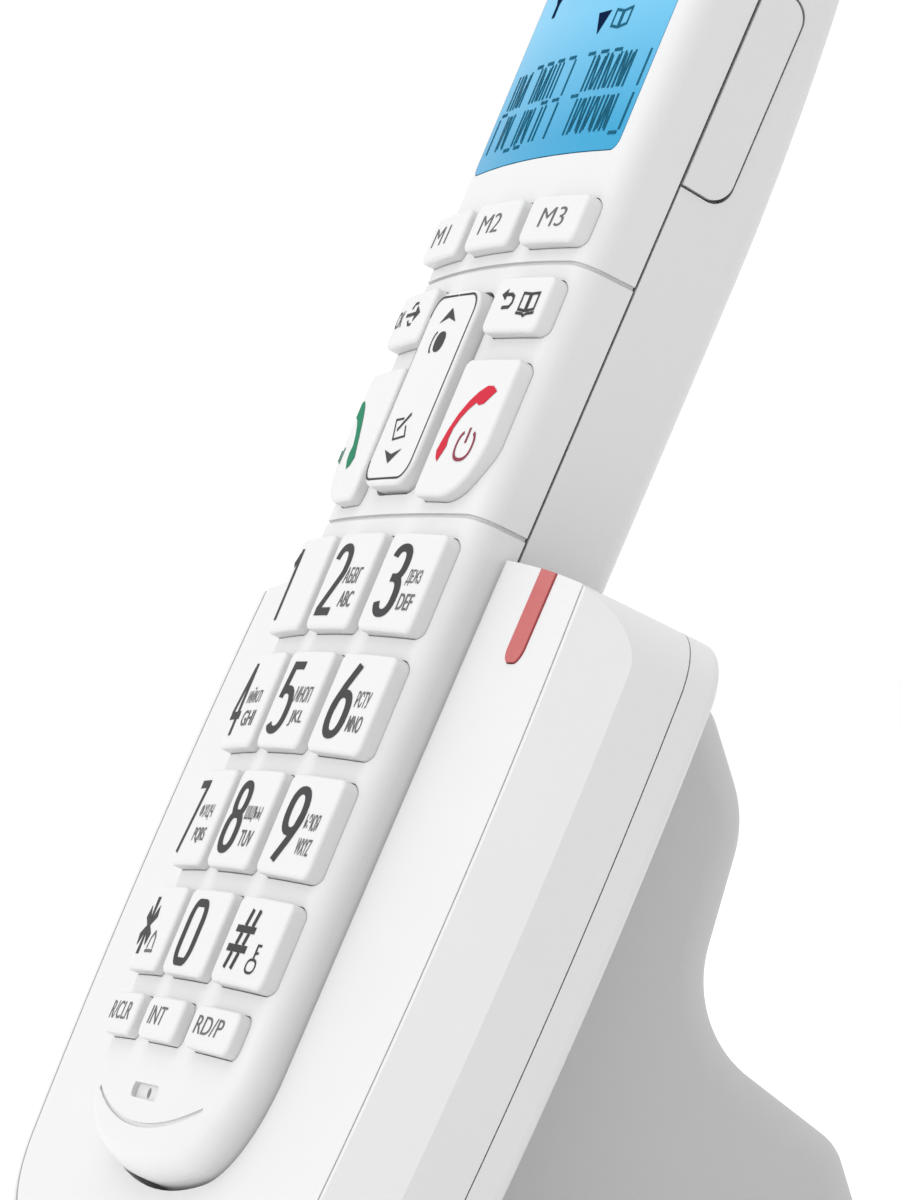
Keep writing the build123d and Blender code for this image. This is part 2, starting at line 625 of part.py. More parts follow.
# Side key, following the tapered wall, with its lip inside the case
side_room = rear_body(LIP_TOP + SIDE_KEY_LIP_T)
side_cap = (sideways(side_key_plan(0), HANDSET_W) & rear_body(-SIDE_KEY_PROUD)) - side_room
side_cap -= sideways(side_key_plan(CLEAR), HALF_W / 2)
side_lip = (sideways(side_key_plan(SIDE_KEY_LIP), HANDSET_W) & rear_body(LIP_TOP)) - side_room
side_lip -= sideways(side_key_plan(2 * SIDE_KEY_LIP), HALF_W / 2)
side_key = side_cap + side_lip
side_key -= block(-HANDSET_W, HANDSET_W, 0, HANDSET_L, REAR_START + PIN_FIT, 0)
pieces["side_key"] = side_key

# Battery door: outer skin of the rear cover with a round knuckle and two hinge pins
door_plan = Pos(0, DOOR_V + DOOR_L / 2) * Rectangle(DOOR_W, DOOR_L)
door = prism(door_plan, HANDSET_T + PAST, DOOR_INNER) & rear_lump
hinge_line = Pos(0, DOOR_V, -hinge_depth) * Rot(0, 90, 0)
door += hinge_line * Cylinder(DOOR_KNUCKLE_R, DOOR_W)
door += hinge_line * Cylinder(DOOR_PIN_R, DOOR_W + 2 * (CLEAR + DOOR_PIN_L))
pieces["battery_door"] = door

# Display: clear window resting on a ledge, glass panel and light box behind it
pieces["display_lens"] = layer(lens_plan, 0, LENS_T)
lcd_plan = offset(lens_plan, amount=-LENS_LEDGE - SEAM)
pieces["lcd_panel"] = prism(lcd_plan, LCD_TOP + LCD_T, LCD_TOP)
pieces["lcd_backlight"] = prism(lcd_plan, BOARD_TOP, BACKLIGHT_TOP)

# Rubber dome sheet under the keys and the board behind it
sheet_h = MEMORY_ROW_V + MEMORY_KEY_H + SHEET_MARGIN - SHEET_LOW_V
sheet_plan = Pos(0, SHEET_LOW_V + sheet_h / 2) * RectangleRounded(MEMBRANE_W, sheet_h, KEY_CORNER_R)
pieces["keypad_membrane"] = layer(sheet_plan, MEMBRANE_TOP, MEMBRANE_BOTTOM)
board = prism(handset_outline(CASE_WALL + BOARD_MARGIN), BOARD_BOTTOM, BOARD_TOP)
for v in (CASE_SCREW_LOW_V, CASE_SCREW_TOP_V):
    for side in (-1, 1):
        board -= disc(side * CASE_SCREW_U, v, BOSS_R + SEAM, BOARD_BOTTOM, BOARD_TOP)
pieces["handset_board"] = board

# Sound parts: earpiece and microphone against the front cover, loudspeaker against the back
ear_reach = max(EARPIECE_V + EARPIECE_R - HANDSET_L + TOP_BOW_LEN, 0)
ear_top = CASE_WALL + EARPIECE_R ** 2 / (2 * CROWN_R) + ear_reach ** 2 / END_BOW_R
ear_top -= FACE_SLOPE * (EARPIECE_V - EARPIECE_R - TILT_V)
pieces["earpiece"] = disc(0, EARPIECE_V, EARPIECE_R, ear_top + EARPIECE_T, ear_top)
speaker_back = back_depth(SPEAKER_V + SPEAKER_R) - CASE_WALL - SEAM
pieces["loudspeaker"] = disc(0, SPEAKER_V, SPEAKER_R, speaker_back, speaker_back - SPEAKER_T)
mic_top = CASE_WALL + max(BOTTOM_BOW_V - MIC_V + MIC_R, 0) ** 2 / (2 * END_BOW_R) + SEAM
mic_top += FACE_SLOPE * (TILT_V - MIC_V + MIC_R)
pieces["microphone"] = disc(0, MIC_V, MIC_R, mic_top + MIC_T, mic_top)

# Battery compartment: tray, two cells lying head to tail, and their end contacts
tray_half = 2 * CELL_R + CELL_GAP + TRAY_WALL
tray_low_v = DOOR_V + DOOR_KNUCKLE_R + CLEAR
tray_top_v = tray_low_v + CELL_L + CELL_CAP_L + 2 * (TRAY_WALL + SPRING_TAB_T + CELL_PLAY)
tray_end = CELL_DEPTH + CELL_R / 2
tray = block(-tray_half, tray_half, tray_low_v, tray_top_v, tray_end, TRAY_START)
tray -= block(
    TRAY_WALL - tray_half,
    tray_half - TRAY_WALL,
    tray_low_v + TRAY_WALL,
    tray_top_v - TRAY_WALL,
    tray_end,
    TRAY_START + TRAY_FLOOR,
)
pieces["battery_tray"] = tray
cell_u = CELL_R + CELL_GAP / 2
cell_mid_v = (tray_low_v + tray_top_v) / 2
cells = []
tabs = []
for side in (-1, 1):
    can = Pos(0, 0, -CELL_CAP_L / 2) * Cylinder(CELL_R, CELL_L)
    cap = Pos(0, 0, CELL_L / 2) * Cylinder(CELL_CAP_R, CELL_CAP_L)
    cells.append(Pos(side * cell_u, cell_mid_v, -CELL_DEPTH) * Rot(-side * 90, 0, 0) * (can + cap))
    for tab_v in (tray_low_v + TRAY_WALL, tray_top_v - TRAY_WALL - SPRING_TAB_T):
        tabs.append(
            block(
                side * cell_u - SPRING_TAB_W / 2,
                side * cell_u + SPRING_TAB_W / 2,
                tab_v,
                tab_v + SPRING_TAB_T,
                tray_end,
                TRAY_START + TRAY_FLOOR,
            )
        )
pieces["battery_cells"] = cells
pieces["battery_contacts"] = tabs

# Charging plates in the back, and the four screws that hold the case together
plates = []
for side in (-1, 1):
    plan = Pos(side * CONTACT_U, CONTACT_V) * Rectangle(CONTACT_W, CONTACT_H)
    plates.append(prism(plan, HANDSET_T, HANDSET_T - CASE_WALL))
pieces["handset_charge_contacts"] = plates
screws = []
for v in (CASE_SCREW_LOW_V, CASE_SCREW_TOP_V):
    seat = back_depth(v) - SCREW_SINK
    for side in (-1, 1):
        head = disc(side * CASE_SCREW_U, v, SCREW_HEAD_R, seat + SCREW_HEAD_T, seat)
        screws.append(head + disc(side * CASE_SCREW_U, v, SCREW_R, seat, SCREW_TIP_DEPTH))
pieces["handset_screws"] = screws


def base_half_width(v):
    """Half width of the slanted plate, whose sides are slightly bowed."""
    return BASE_HALF_W - BASE_SIDE_R + math.sqrt(BASE_SIDE_R ** 2 - (v - BASE_WIDEST_V) ** 2)


def base_sides(inset):
    """Front view of the slanted plate run on past its top edge, sunk by the inset."""
    low_v = BASE_BOTTOM_V + inset
    high_v = 2 * BASE_TOP_V - BASE_WIDEST_V
    plan = Pos(0, (low_v + high_v) / 2) * Rectangle(2 * BASE_HALF_W, high_v - low_v)
    for side in (-1, 1):
        plan &= Pos(side * (BASE_HALF_W - BASE_SIDE_R), BASE_WIDEST_V) * Circle(BASE_SIDE_R - inset)
    return fillet(plan.vertices().group_by(Axis.Y)[0], BASE_BOTTOM_CORNER_R - inset)


def base_outline(inset):
    """Front view of the slanted plate with its arched top edge, sunk by the inset."""
    plan = base_sides(inset) & Pos(0, BASE_TOP_V - BASE_TOP_R) * Circle(BASE_TOP_R - inset)
    upper = plan.vertices().filter_by(lambda corner: corner.Y > BASE_WIDEST_V)
    return fillet(upper, BASE_TOP_CORNER_R - inset)


def base_body(inset, deep):
    """Bevelled lump of the slanted plate, every side sunk by the inset."""
    rise = BEVEL_END_DEPTH - PANEL_DEPTH
    sides = base_sides(inset)
    bevel = math.degrees(math.atan(BEVEL_U / rise))
    nose = extrude(Pos(0, 0, -BEVEL_END_DEPTH) * sides, amount=rise, taper=bevel)
    lump = nose + prism(sides, deep, BEVEL_END_DEPTH)
    return lump & prism(base_outline(inset), deep, PANEL_DEPTH)


def trough_room(gap, floor):
    """Room for the handset in the base: its own outline grown by a gap, tapering with its back."""
    outline = handset_outline(-gap)
    front = prism(outline, REAR_START, -PAST)
    start = Pos(0, 0, -REAR_START) * outline
    return front + extrude(start, amount=floor - REAR_START, dir=(0, 0, -1), taper=REAR_TAPER)


table_cut = Pos(0, 0, FOOT_PAD_T - BASE_HALF_W) * Box(4 * BASE_HALF_W, 4 * BASE_HALF_W, 2 * BASE_HALF_W)
table_cut = lean_frame.location.inverse() * table_cut

# Front panel: plate and handset trough moulded in one, open at the top
panel_back = PANEL_DEPTH + PANEL_T
groove_floor = PANEL_DEPTH + PANEL_SEAM_DEPTH
plate = prism(base_sides(BEVEL_U + PANEL_LAND + SEAM) & base_outline(0), panel_back, groove_floor)
plate += prism(base_sides(BEVEL_U + PANEL_LAND + PANEL_SEAM) & base_outline(0), groove_floor, PANEL_DEPTH)
trough = trough_room(TROUGH_GAP + TROUGH_WALL, BASE_REAR_DEPTH)
trough &= prism(base_outline(0), BASE_REAR_DEPTH, PANEL_DEPTH)
panel = plate + trough
panel -= trough_room(TROUGH_GAP, TROUGH_FLOOR)
light_plan = Pos(LIGHT_U, BASE_TOP_V - LIGHT_U ** 2 / (2 * BASE_TOP_R) - LIGHT_DROP + BASE_TOP_V / 2)
light_plan = light_plan * RectangleRounded(LIGHT_W, BASE_TOP_V, LIGHT_CORNER_R)
light_room = prism(offset(light_plan, amount=SEAM), panel_back + SEAM, PANEL_DEPTH - PAST)
panel -= light_room
for side in (-1, 1):
    panel -= block(
        side * CONTACT_U - PIN_W / 2 - SEAM,
        side * CONTACT_U + PIN_W / 2 + SEAM,
        CONTACT_V - PIN_H / 2 - SEAM,
        CONTACT_V + PIN_H / 2 + SEAM,
        BASE_REAR_DEPTH + PAST,
        HANDSET_T,
    )
pieces["base_front_panel"] = panel

# Red light strip that turns over the top edge, and the lamp behind it
front_leg = prism(light_plan & base_outline(0), PANEL_DEPTH + LIGHT_T, PANEL_DEPTH - LIGHT_PROUD)
top_leg_plan = (light_plan & base_outline(0)) - base_outline(LIGHT_T)
pieces["ring_light"] = front_leg + prism(top_leg_plan, PANEL_DEPTH + LIGHT_RETURN, PANEL_DEPTH - LIGHT_PROUD)
lamp_v = BASE_TOP_V - LIGHT_U ** 2 / (2 * BASE_TOP_R) - LIGHT_DROP / 2 - LAMP_H / 2
pieces["ring_lamp"] = block(
    LIGHT_U - LAMP_W / 2,
    LIGHT_U + LAMP_W / 2,
    lamp_v - LAMP_H / 2,
    lamp_v + LAMP_H / 2,
    panel_back + SEAM + LAMP_T,
    panel_back + SEAM,
)

# Side frame: bevelled ring between the front panel and the rear shell
trough_bed = trough_room(TROUGH_GAP + TROUGH_WALL + SEAM, BASE_REAR_DEPTH + PAST)
frame_end = SEAM_DEPTH - SEAM / 2
frame = base_body(0, frame_end) - base_body(SHELL_WALL, frame_end)
for v in (FRAME_SCREW_LOW_V, FRAME_SCREW_TOP_V):
    for side in (-1, 1):
        u = side * (base_half_width(v) - FRAME_SCREW_INSET)
        frame += disc(u, v, FRAME_BOSS_R, frame_end, FRAME_BOSS_DEPTH)
        frame -= disc(u, v, SCREW_R + PIN_FIT, frame_end, FRAME_BOSS_DEPTH + CLEAR)
frame -= prism(base_sides(BEVEL_U + PANEL_LAND), panel_back + SEAM, PANEL_DEPTH - PAST)
frame -= trough_bed
frame -= prism(offset(light_plan, amount=SEAM), PANEL_DEPTH + LIGHT_RETURN + SEAM, PANEL_DEPTH) - prism(
    base_outline(LIGHT_T + SEAM), PANEL_DEPTH + PAST + LIGHT_RETURN, PANEL_DEPTH
)
PAGE_KEY_V = (FRAME_SCREW_LOW_V + FRAME_SCREW_TOP_V) / 2
page_u = base_half_width(PAGE_KEY_V)
page_depth = (BEVEL_END_DEPTH + SEAM_DEPTH) / 2


def page_key_plan(grow):
    """Side view of the handset-finder key."""
    width = PAGE_KEY_W + 2 * grow
    return Pos(PAGE_KEY_V, -page_depth) * RectangleRounded(PAGE_KEY_H + 2 * grow, width, width / 2 - SEAM)


def left_run(face, u_from, u_to):
    """Side-view outline run between two distances to the left of the middle."""
    return extrude(Plane.YZ.location * Pos(0, 0, -u_from) * face, amount=u_from - u_to)


frame -= left_run(page_key_plan(CLEAR), page_u + PAST, page_u - PAST)
frame -= table_cut
pieces["base_front_shell"] = frame

# Handset-finder key in the frame's left wall
page_lip_u = base_half_width(PAGE_KEY_V + PAGE_KEY_H) - SHELL_WALL - CLEAR
page_key = left_run(page_key_plan(0), page_u + PAGE_KEY_PROUD, page_lip_u - PAGE_KEY_LIP_T)
page_key += left_run(page_key_plan(PAGE_KEY_LIP), page_lip_u, page_lip_u - PAGE_KEY_LIP_T)
pieces["page_key"] = page_key

# Rear shell: shallow pan that closes the plate, with a gap for the trough
pan_start = SEAM_DEPTH + SEAM / 2
pan = base_body(0, BASE_REAR_DEPTH) & prism(base_outline(0), BASE_REAR_DEPTH, pan_start)
pan = fillet(pan.faces().sort_by(Axis.Z)[0].edges(), BASE_REAR_EDGE_R)
pan -= prism(base_outline(SHELL_WALL), BASE_REAR_DEPTH - SHELL_WALL, pan_start)
frame_screws = []
for v in (FRAME_SCREW_LOW_V, FRAME_SCREW_TOP_V):
    for side in (-1, 1):
        u = side * (base_half_width(v) - FRAME_SCREW_INSET)
        seat = BASE_REAR_DEPTH - FRAME_SCREW_SINK
        pan += disc(u, v, FRAME_BOSS_R, BASE_REAR_DEPTH - SHELL_WALL / 2, pan_start)
        pan -= disc(u, v, SCREW_HEAD_R + SEAM, BASE_REAR_DEPTH + PAST, seat)
        pan -= disc(u, v, SCREW_R + SEAM, BASE_REAR_DEPTH, pan_start - SEAM)
        head = disc(u, v, SCREW_HEAD_R, seat + SCREW_HEAD_T, seat)
        frame_screws.append(head + disc(u, v, SCREW_R, seat, FRAME_BOSS_DEPTH + 2 * CLEAR))
pan -= trough_bed
pan -= table_cut
pieces["base_rear_shell"] = pan
pieces["base_screws"] = frame_screws

# Sprung charging pins that stand through the trough's floor
pins = []
for side in (-1, 1):
    pins.append(
        block(
            side * CONTACT_U - PIN_W / 2,
            side * CONTACT_U + PIN_W / 2,
            CONTACT_V - PIN_H / 2,
            CONTACT_V + PIN_H / 2,
            BASE_REAR_DEPTH + PIN_TAIL,
            HANDSET_T + CLEAR,
        )
    )
pieces["base_charge_contacts"] = pins

for name, shape in pieces.items():
    pieces[name] = leaning(shape)


def back_y(z):
    """Distance behind the handset's bottom end of the plate's rear face at a height above the table."""
    v = (z - HANDSET_HEIGHT_OFF_TABLE + BASE_REAR_DEPTH * LEAN_SIN) / LEAN_COS
    return v * LEAN_SIN + BASE_REAR_DEPTH * LEAN_COS


def upright(x_from, x_to, y_from, y_to, z_from, z_to):
    """Upright box given by its limits."""
    centre = Pos((x_from + x_to) / 2, (y_from + y_to) / 2, (z_from + z_to) / 2)
    return centre * Box(x_to - x_from, y_to - y_from, z_to - z_from)


def standing(x, y, radius, z_from, z_to):
    """Upright round post or hole."""
    return Pos(x, y, (z_from + z_to) / 2) * Cylinder(radius, z_to - z_from)


# Stand: hollow easel on the plate's back, waisted behind and flaring into a foot
ridge = (back_y(STAND_TOP_Z), STAND_TOP_Z)
toe = (back_y(FOOT_PAD_T), FOOT_PAD_T)
stand_corners = (
    ((STAND_SHOULDER_Y, STAND_TOP_Z), STAND_SHOULDER_R),
    ((STAND_CREST_Y, STAND_CREST_Z), STAND_CREST_R),
    ((STAND_NECK_Y, STAND_NECK_Z), STAND_NECK_R),
    ((STAND_HEEL_Y, STAND_HEEL_Z), STAND_HEEL_R),
    ((STAND_FOOT_Y, STAND_FOOT_TOP_Z), STAND_HEEL_R),
)
corner_points = [point for point, radius in stand_corners]
stand_line = Polyline(toe, ridge, *corner_points, (STAND_FOOT_Y, FOOT_PAD_T), close=True)
stand_profile = Sketch() + make_face(stand_line)
for (corner_y, corner_z), radius in stand_corners:
    spot = Vector(corner_y, corner_z)
    stand_profile = fillet(stand_profile.vertices().sort_by_distance(spot)[0], radius)
stand = extrude(Plane.YZ.location * stand_profile, amount=STAND_HALF_W, both=True)
outer_edges = stand.edges().filter_by(lambda edge: abs(edge.center().X) > STAND_HALF_W - SEAM)
outer_edges = outer_edges.filter_by(lambda edge: edge.center().Z > FOOT_PAD_T + SEAM)
outer_edges = outer_edges.filter_by(lambda edge: edge.center().Y > back_y(edge.center().Z) + SEAM)
stand = fillet(outer_edges, STAND_EDGE_R)
stand_inner = STAND_HALF_W - STAND_WALL
hollow_profile = offset(stand_profile, amount=-STAND_WALL)
stand_hollow = extrude(Plane.YZ.location * hollow_profile, amount=stand_inner, both=True)
front_window = leaning(
    block(
        -stand_inner,
        stand_inner,
        BASE_BOTTOM_V,
        (STAND_TOP_Z - HANDSET_HEIGHT_OFF_TABLE) / LEAN_COS,
        BASE_REAR_DEPTH + 2 * STAND_WALL,
        BASE_REAR_DEPTH - PAST,
    )
)
plate_top_z = FOOT_PAD_T + BOTTOM_PLATE_T
stand_end_y = STAND_FOOT_Y - STAND_WALL
stand_hollow += front_window
stand_hollow += upright(
    -stand_inner, stand_inner, back_y(plate_top_z), stand_end_y, -PAST, plate_top_z + STAND_WALL
)
stand -= stand_hollow
board_z = plate_top_z + SEAM
jack_z = board_z + BASE_BOARD_T
jack_end_y = STAND_FOOT_Y - JACK_RECESS
post_ys = (STAND_POST_LOW_Y, STAND_FOOT_Y - STAND_POST_INSET)
post_u = stand_inner - STAND_POST_R + STAND_POST_BITE
for y in post_ys:
    for side in (-1, 1):
        stand += standing(side * post_u, y, STAND_POST_R, board_z, STAND_POST_TOP_Z)
        stand -= standing(side * post_u, y, SCREW_R + PIN_FIT, board_z, STAND_POST_TOP_Z - CLEAR)
stand -= upright(
    LINE_JACK_U - LINE_JACK_W / 2 - SEAM,
    LINE_JACK_U + LINE_JACK_W / 2 + SEAM,
    stand_end_y - PAST,
    STAND_FOOT_Y + PAST,
    jack_z - SEAM,
    jack_z + LINE_JACK_H + SEAM,
)
stand -= upright(
    POWER_JACK_U - POWER_JACK_W / 2 - SEAM,
    POWER_JACK_U + POWER_JACK_W / 2 + SEAM,
    stand_end_y - PAST,
    STAND_FOOT_Y + PAST,
    jack_z - SEAM,
    jack_z + POWER_JACK_H + SEAM,
)
pieces["stand"] = stand

# Bottom plate with sunk screws and four rubber pads
plate_front_y = back_y(plate_top_z) + SEAM
plate_half = stand_inner - SEAM
plate = upright(-plate_half, plate_half, plate_front_y, stand_end_y - SEAM, FOOT_PAD_T, plate_top_z)
plate_screws = []
pads = []
for y in post_ys:
    for side in (-1, 1):
        seat_z = FOOT_PAD_T + PLATE_SCREW_SINK
        plate -= standing(side * post_u, y, SCREW_HEAD_R + SEAM, 0, seat_z)
        plate -= standing(side * post_u, y, SCREW_R + SEAM, 0, plate_top_z)
        screw = standing(side * post_u, y, SCREW_HEAD_R, seat_z - PLATE_SCREW_HEAD_T, seat_z)
        plate_screws.append(screw + standing(side * post_u, y, SCREW_R, seat_z, STAND_POST_TOP_Z - 2 * CLEAR))
for y in (plate_front_y + PAD_INSET, stand_end_y - PAD_INSET):
    for side in (-1, 1):
        plate -= standing(side * PAD_U, y, PAD_R + SEAM, 0, FOOT_PAD_T + PAD_RECESS)
        pads.append(standing(side * PAD_U, y, PAD_R, 0, FOOT_PAD_T + PAD_RECESS))
pieces["bottom_plate"] = plate
pieces["stand_screws"] = plate_screws
pieces["rubber_feet"] = pads

# Board in the foot with the line socket and the power socket facing backwards
board_end_y = stand_end_y - SEAM
pieces["base_board"] = upright(
    -BASE_BOARD_HALF_W, BASE_BOARD_HALF_W, board_end_y - BASE_BOARD_L, board_end_y, board_z, jack_z
)
line_jack = upright(
    LINE_JACK_U - LINE_JACK_W / 2,
    LINE_JACK_U + LINE_JACK_W / 2,
    jack_end_y - LINE_JACK_L,
    jack_end_y,
    jack_z,
    jack_z + LINE_JACK_H,
)
line_jack -= upright(
    LINE_JACK_U - LINE_SOCKET_W / 2,
    LINE_JACK_U + LINE_SOCKET_W / 2,
    jack_end_y - LINE_SOCKET_L,
    jack_end_y,
    jack_z + (LINE_JACK_H - LINE_SOCKET_H) / 2,
    jack_z + (LINE_JACK_H + LINE_SOCKET_H) / 2,
)
pieces["line_jack"] = line_jack
power_jack = upright(
    POWER_JACK_U - POWER_JACK_W / 2,
    POWER_JACK_U + POWER_JACK_W / 2,
    jack_end_y - POWER_JACK_L,
    jack_end_y,
    jack_z,
    jack_z + POWER_JACK_H,
)
power_axis_z = jack_z + POWER_JACK_H / 2
power_line = Pos(POWER_JACK_U, jack_end_y - POWER_SOCKET_L / 2, power_axis_z) * Rot(90, 0, 0)
power_jack -= power_line * Cylinder(POWER_SOCKET_R, POWER_SOCKET_L)
power_jack += power_line * Cylinder(POWER_PIN_R, POWER_SOCKET_L)
pieces["power_jack"] = power_jack

# Set the whole phone on the middle of its footprint and write one file per piece
boxes = []
for shape in pieces.values():
    members = shape if isinstance(shape, list) else [shape]
    boxes += [member.bounding_box() for member in members]
middle_y = (min(box.min.Y for box in boxes) + max(box.max.Y for box in boxes)) / 2
set_down = Pos(0, -middle_y, -min(box.min.Z for box in boxes))
for name, shape in pieces.items():
    shape = placed(set_down, shape)
    if isinstance(shape, list):
        shape = Compound(children=shape)
    export_step(shape, "parts/" + name + ".step")
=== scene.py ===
import math

import bmesh
import bpy
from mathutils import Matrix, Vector


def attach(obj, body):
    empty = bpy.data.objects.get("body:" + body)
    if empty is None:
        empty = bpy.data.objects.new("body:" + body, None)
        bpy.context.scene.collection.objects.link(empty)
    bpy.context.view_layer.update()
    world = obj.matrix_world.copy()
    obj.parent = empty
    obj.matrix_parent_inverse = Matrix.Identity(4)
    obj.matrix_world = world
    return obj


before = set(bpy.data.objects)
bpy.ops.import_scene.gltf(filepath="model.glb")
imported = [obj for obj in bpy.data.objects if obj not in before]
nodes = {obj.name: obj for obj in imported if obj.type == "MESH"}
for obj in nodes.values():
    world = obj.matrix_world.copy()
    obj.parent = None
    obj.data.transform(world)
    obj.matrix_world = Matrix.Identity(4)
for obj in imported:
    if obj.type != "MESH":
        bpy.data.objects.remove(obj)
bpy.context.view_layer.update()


# Stand: a hollow easel in white ABS, moulded in one with its flared foot and closed by a bottom
# plate. The tool was spark-eroded, so the skin has a fine grain and only a soft sheen.
def finish(name, colour, shade, gloss, grain, relief, sheen=0.5, metal=0.0):
    """Material of one piece: faint mottling of the colour, cloudy gloss and a fine grain in the skin."""
    material = bpy.data.materials.new(name)
    material.use_nodes = True
    tree = material.node_tree
    shader = tree.nodes["Principled BSDF"]
    shader.inputs["Specular IOR Level"].default_value = sheen
    shader.inputs["Metallic"].default_value = metal
    place = tree.nodes.new("ShaderNodeTexCoord")
    cloud = tree.nodes.new("ShaderNodeTexNoise")
    cloud.inputs["Scale"].default_value = 55.0
    cloud.inputs["Detail"].default_value = 3.0
    tree.links.new(place.outputs["Object"], cloud.inputs["Vector"])
    tint = tree.nodes.new("ShaderNodeValToRGB")
    tint.color_ramp.elements[0].position = 0.3
    tint.color_ramp.elements[0].color = (*[channel * shade for channel in colour], 1.0)
    tint.color_ramp.elements[1].position = 0.7
    tint.color_ramp.elements[1].color = (*colour, 1.0)
    tree.links.new(cloud.outputs["Fac"], tint.inputs["Fac"])
    tree.links.new(tint.outputs["Color"], shader.inputs["Base Color"])
    cloudy = tree.nodes.new("ShaderNodeMapRange")
    cloudy.inputs["To Min"].default_value = gloss[0]
    cloudy.inputs["To Max"].default_value = gloss[1]
    tree.links.new(cloud.outputs["Fac"], cloudy.inputs["Value"])
    tree.links.new(cloudy.outputs["Result"], shader.inputs["Roughness"])
    pores = tree.nodes.new("ShaderNodeTexNoise")
    pores.inputs["Scale"].default_value = grain
    pores.inputs["Detail"].default_value = 2.0
    tree.links.new(place.outputs["Object"], pores.inputs["Vector"])
    skin = tree.nodes.new("ShaderNodeBump")
    skin.inputs["Strength"].default_value = relief
    skin.inputs["Distance"].default_value = 0.00005
    tree.links.new(pores.outputs["Fac"], skin.inputs["Height"])
    tree.links.new(skin.outputs["Normal"], shader.inputs["Normal"])
    return material


def dress(material, *names):
    """Give pieces of the part their material."""
    for name in names:
        nodes[name].data.materials.clear()
        nodes[name].data.materials.append(material)


# The stand and bottom plate are the same white ABS as the plate, but their colour is set a darker grey:
# painted shade from the slanted plate overhanging them.
stand_plastic_painted_shade = finish(
    "stand_plastic_painted_shade", (0.395, 0.395, 0.40), shade=0.985,
    gloss=(0.46, 0.58), grain=2600.0, relief=0.10, sheen=0.25,
)
dress(stand_plastic_painted_shade, "stand", "bottom_plate")

# Rating label: a silver-grey paper label stuck under the bottom plate, with plain lines of print
# and the double square that an insulated device carries.
INK_LIFT = 0.05
LAYER_LIFT = 0.01
MITRE_LIMIT = 0.35
MM_IN_M = 1000.0


def laid_on(name, shapes, place, lift, material, body, mirrored=False):
    """One thin mark: flat shapes of corners and faces, laid on a surface that place() describes."""
    corners = []
    polygons = []
    for number, (points, faces) in enumerate(shapes):
        first = len(corners)
        layer = lift + LAYER_LIFT * (number % 2)
        corners += [place(u, v, layer) / MM_IN_M for u, v in points]
        for face in faces:
            turn = 0.0
            for here, there in zip(face, face[1:] + face[:1]):
                turn += points[here][0] * points[there][1] - points[there][0] * points[here][1]
            ordered = face if (turn > 0) != mirrored else face[::-1]
            polygons.append([first + corner for corner in ordered])
    mesh = bpy.data.meshes.new(name)
    mesh.from_pydata(corners, [], polygons)
    mesh.materials.append(material)
    mark = bpy.data.objects.new(name, mesh)
    bpy.context.scene.collection.objects.link(mark)
    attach(mark, body)


def stroke(line, width, closed=False):
    """Ribbon of even width along a line of points, mitred at its bends."""
    count = len(line)
    points = []
    for number, (u, v) in enumerate(line):
        before = line[number - 1] if number or closed else line[number]
        after = line[(number + 1) % count] if number < count - 1 or closed else line[number]
        come = Vector((u - before[0], v - before[1]))
        leave = Vector((after[0] - u, after[1] - v))
        come = come.normalized() if come.length else leave.normalized()
        leave = leave.normalized() if leave.length else come
        along = (come + leave).normalized()
        reach = width / 2 / max(along.dot(come), MITRE_LIMIT)
        points.append((u - along.y * reach, v + along.x * reach))
        points.append((u + along.y * reach, v - along.x * reach))
    runs = count if closed else count - 1
    faces = []
    for number in range(runs):
        here = 2 * number
        there = 2 * ((number + 1) % count)
        faces.append((here, there, there + 1, here + 1))
    return points, faces


def patch(*points):
    """Filled flat shape."""
    return list(points), [tuple(range(len(points)))]


label_paper = finish(
    "label_paper", (0.46, 0.46, 0.45), shade=0.97,
    gloss=(0.45, 0.6), grain=1500.0, relief=0.04,
)
label_ink = finish(
    "label_ink", (0.05, 0.05, 0.052), shade=0.85,
    gloss=(0.5, 0.6), grain=1500.0, relief=0.05, sheen=0.02,
)
PLATE_Z = 1.0


def under_plate(u, v, lift):
    """Point under the bottom plate, in mm."""
    return Vector((u, v, PLATE_Z - lift))


LABEL_HALF_W = 16.0
LABEL_FRONT_V = -8.0
LABEL_REAR_V = 9.0
label_sheet = patch(
    (-LABEL_HALF_W, LABEL_FRONT_V),
    (LABEL_HALF_W, LABEL_FRONT_V),
    (LABEL_HALF_W, LABEL_REAR_V),
    (-LABEL_HALF_W, LABEL_REAR_V),
)
laid_on("rating_label", [label_sheet], under_plate, INK_LIFT, label_paper, "base", True)
PRINT_ROWS = 5
PRINT_FIRST_V = 6.5
PRINT_PITCH = 2.6
PRINT_LEFT = -14.0
PRINT_RIGHT = 9.0
PRINT_SHORTER = 3.0
PRINT_LINE = 0.8
label_print = []
for row in range(PRINT_ROWS):
    row_v = PRINT_FIRST_V - PRINT_PITCH * row
    row_end = PRINT_RIGHT - PRINT_SHORTER * (row % 3)
    label_print.append(stroke(((PRINT_LEFT, row_v), (row_end, row_v)), PRINT_LINE))
SQUARE_U = 11.5
SQUARE_V = -3.5
SQUARE_LINE = 0.35
for half in (2.4, 1.4):
    left = SQUARE_U - half
    right = SQUARE_U + half
    low = SQUARE_V - half
    high = SQUARE_V + half
    square = ((left, low), (right, low), (right, high), (left, high))
    label_print.append(stroke(square, SQUARE_LINE, True))
laid_on("rating_print", label_print, under_plate, 2 * INK_LIFT, label_ink, "base", True)

# Feet: four grey rubber pads pressed into round recesses of the bottom plate.
# Soft natural rubber, cut from sheet, dull and slightly dusty.
pad_rubber = finish(
    "pad_rubber", (0.12, 0.12, 0.125), shade=0.8,
    gloss=(0.75, 0.92), grain=1800.0, relief=0.35,
)
dress(pad_rubber, "rubber_feet")

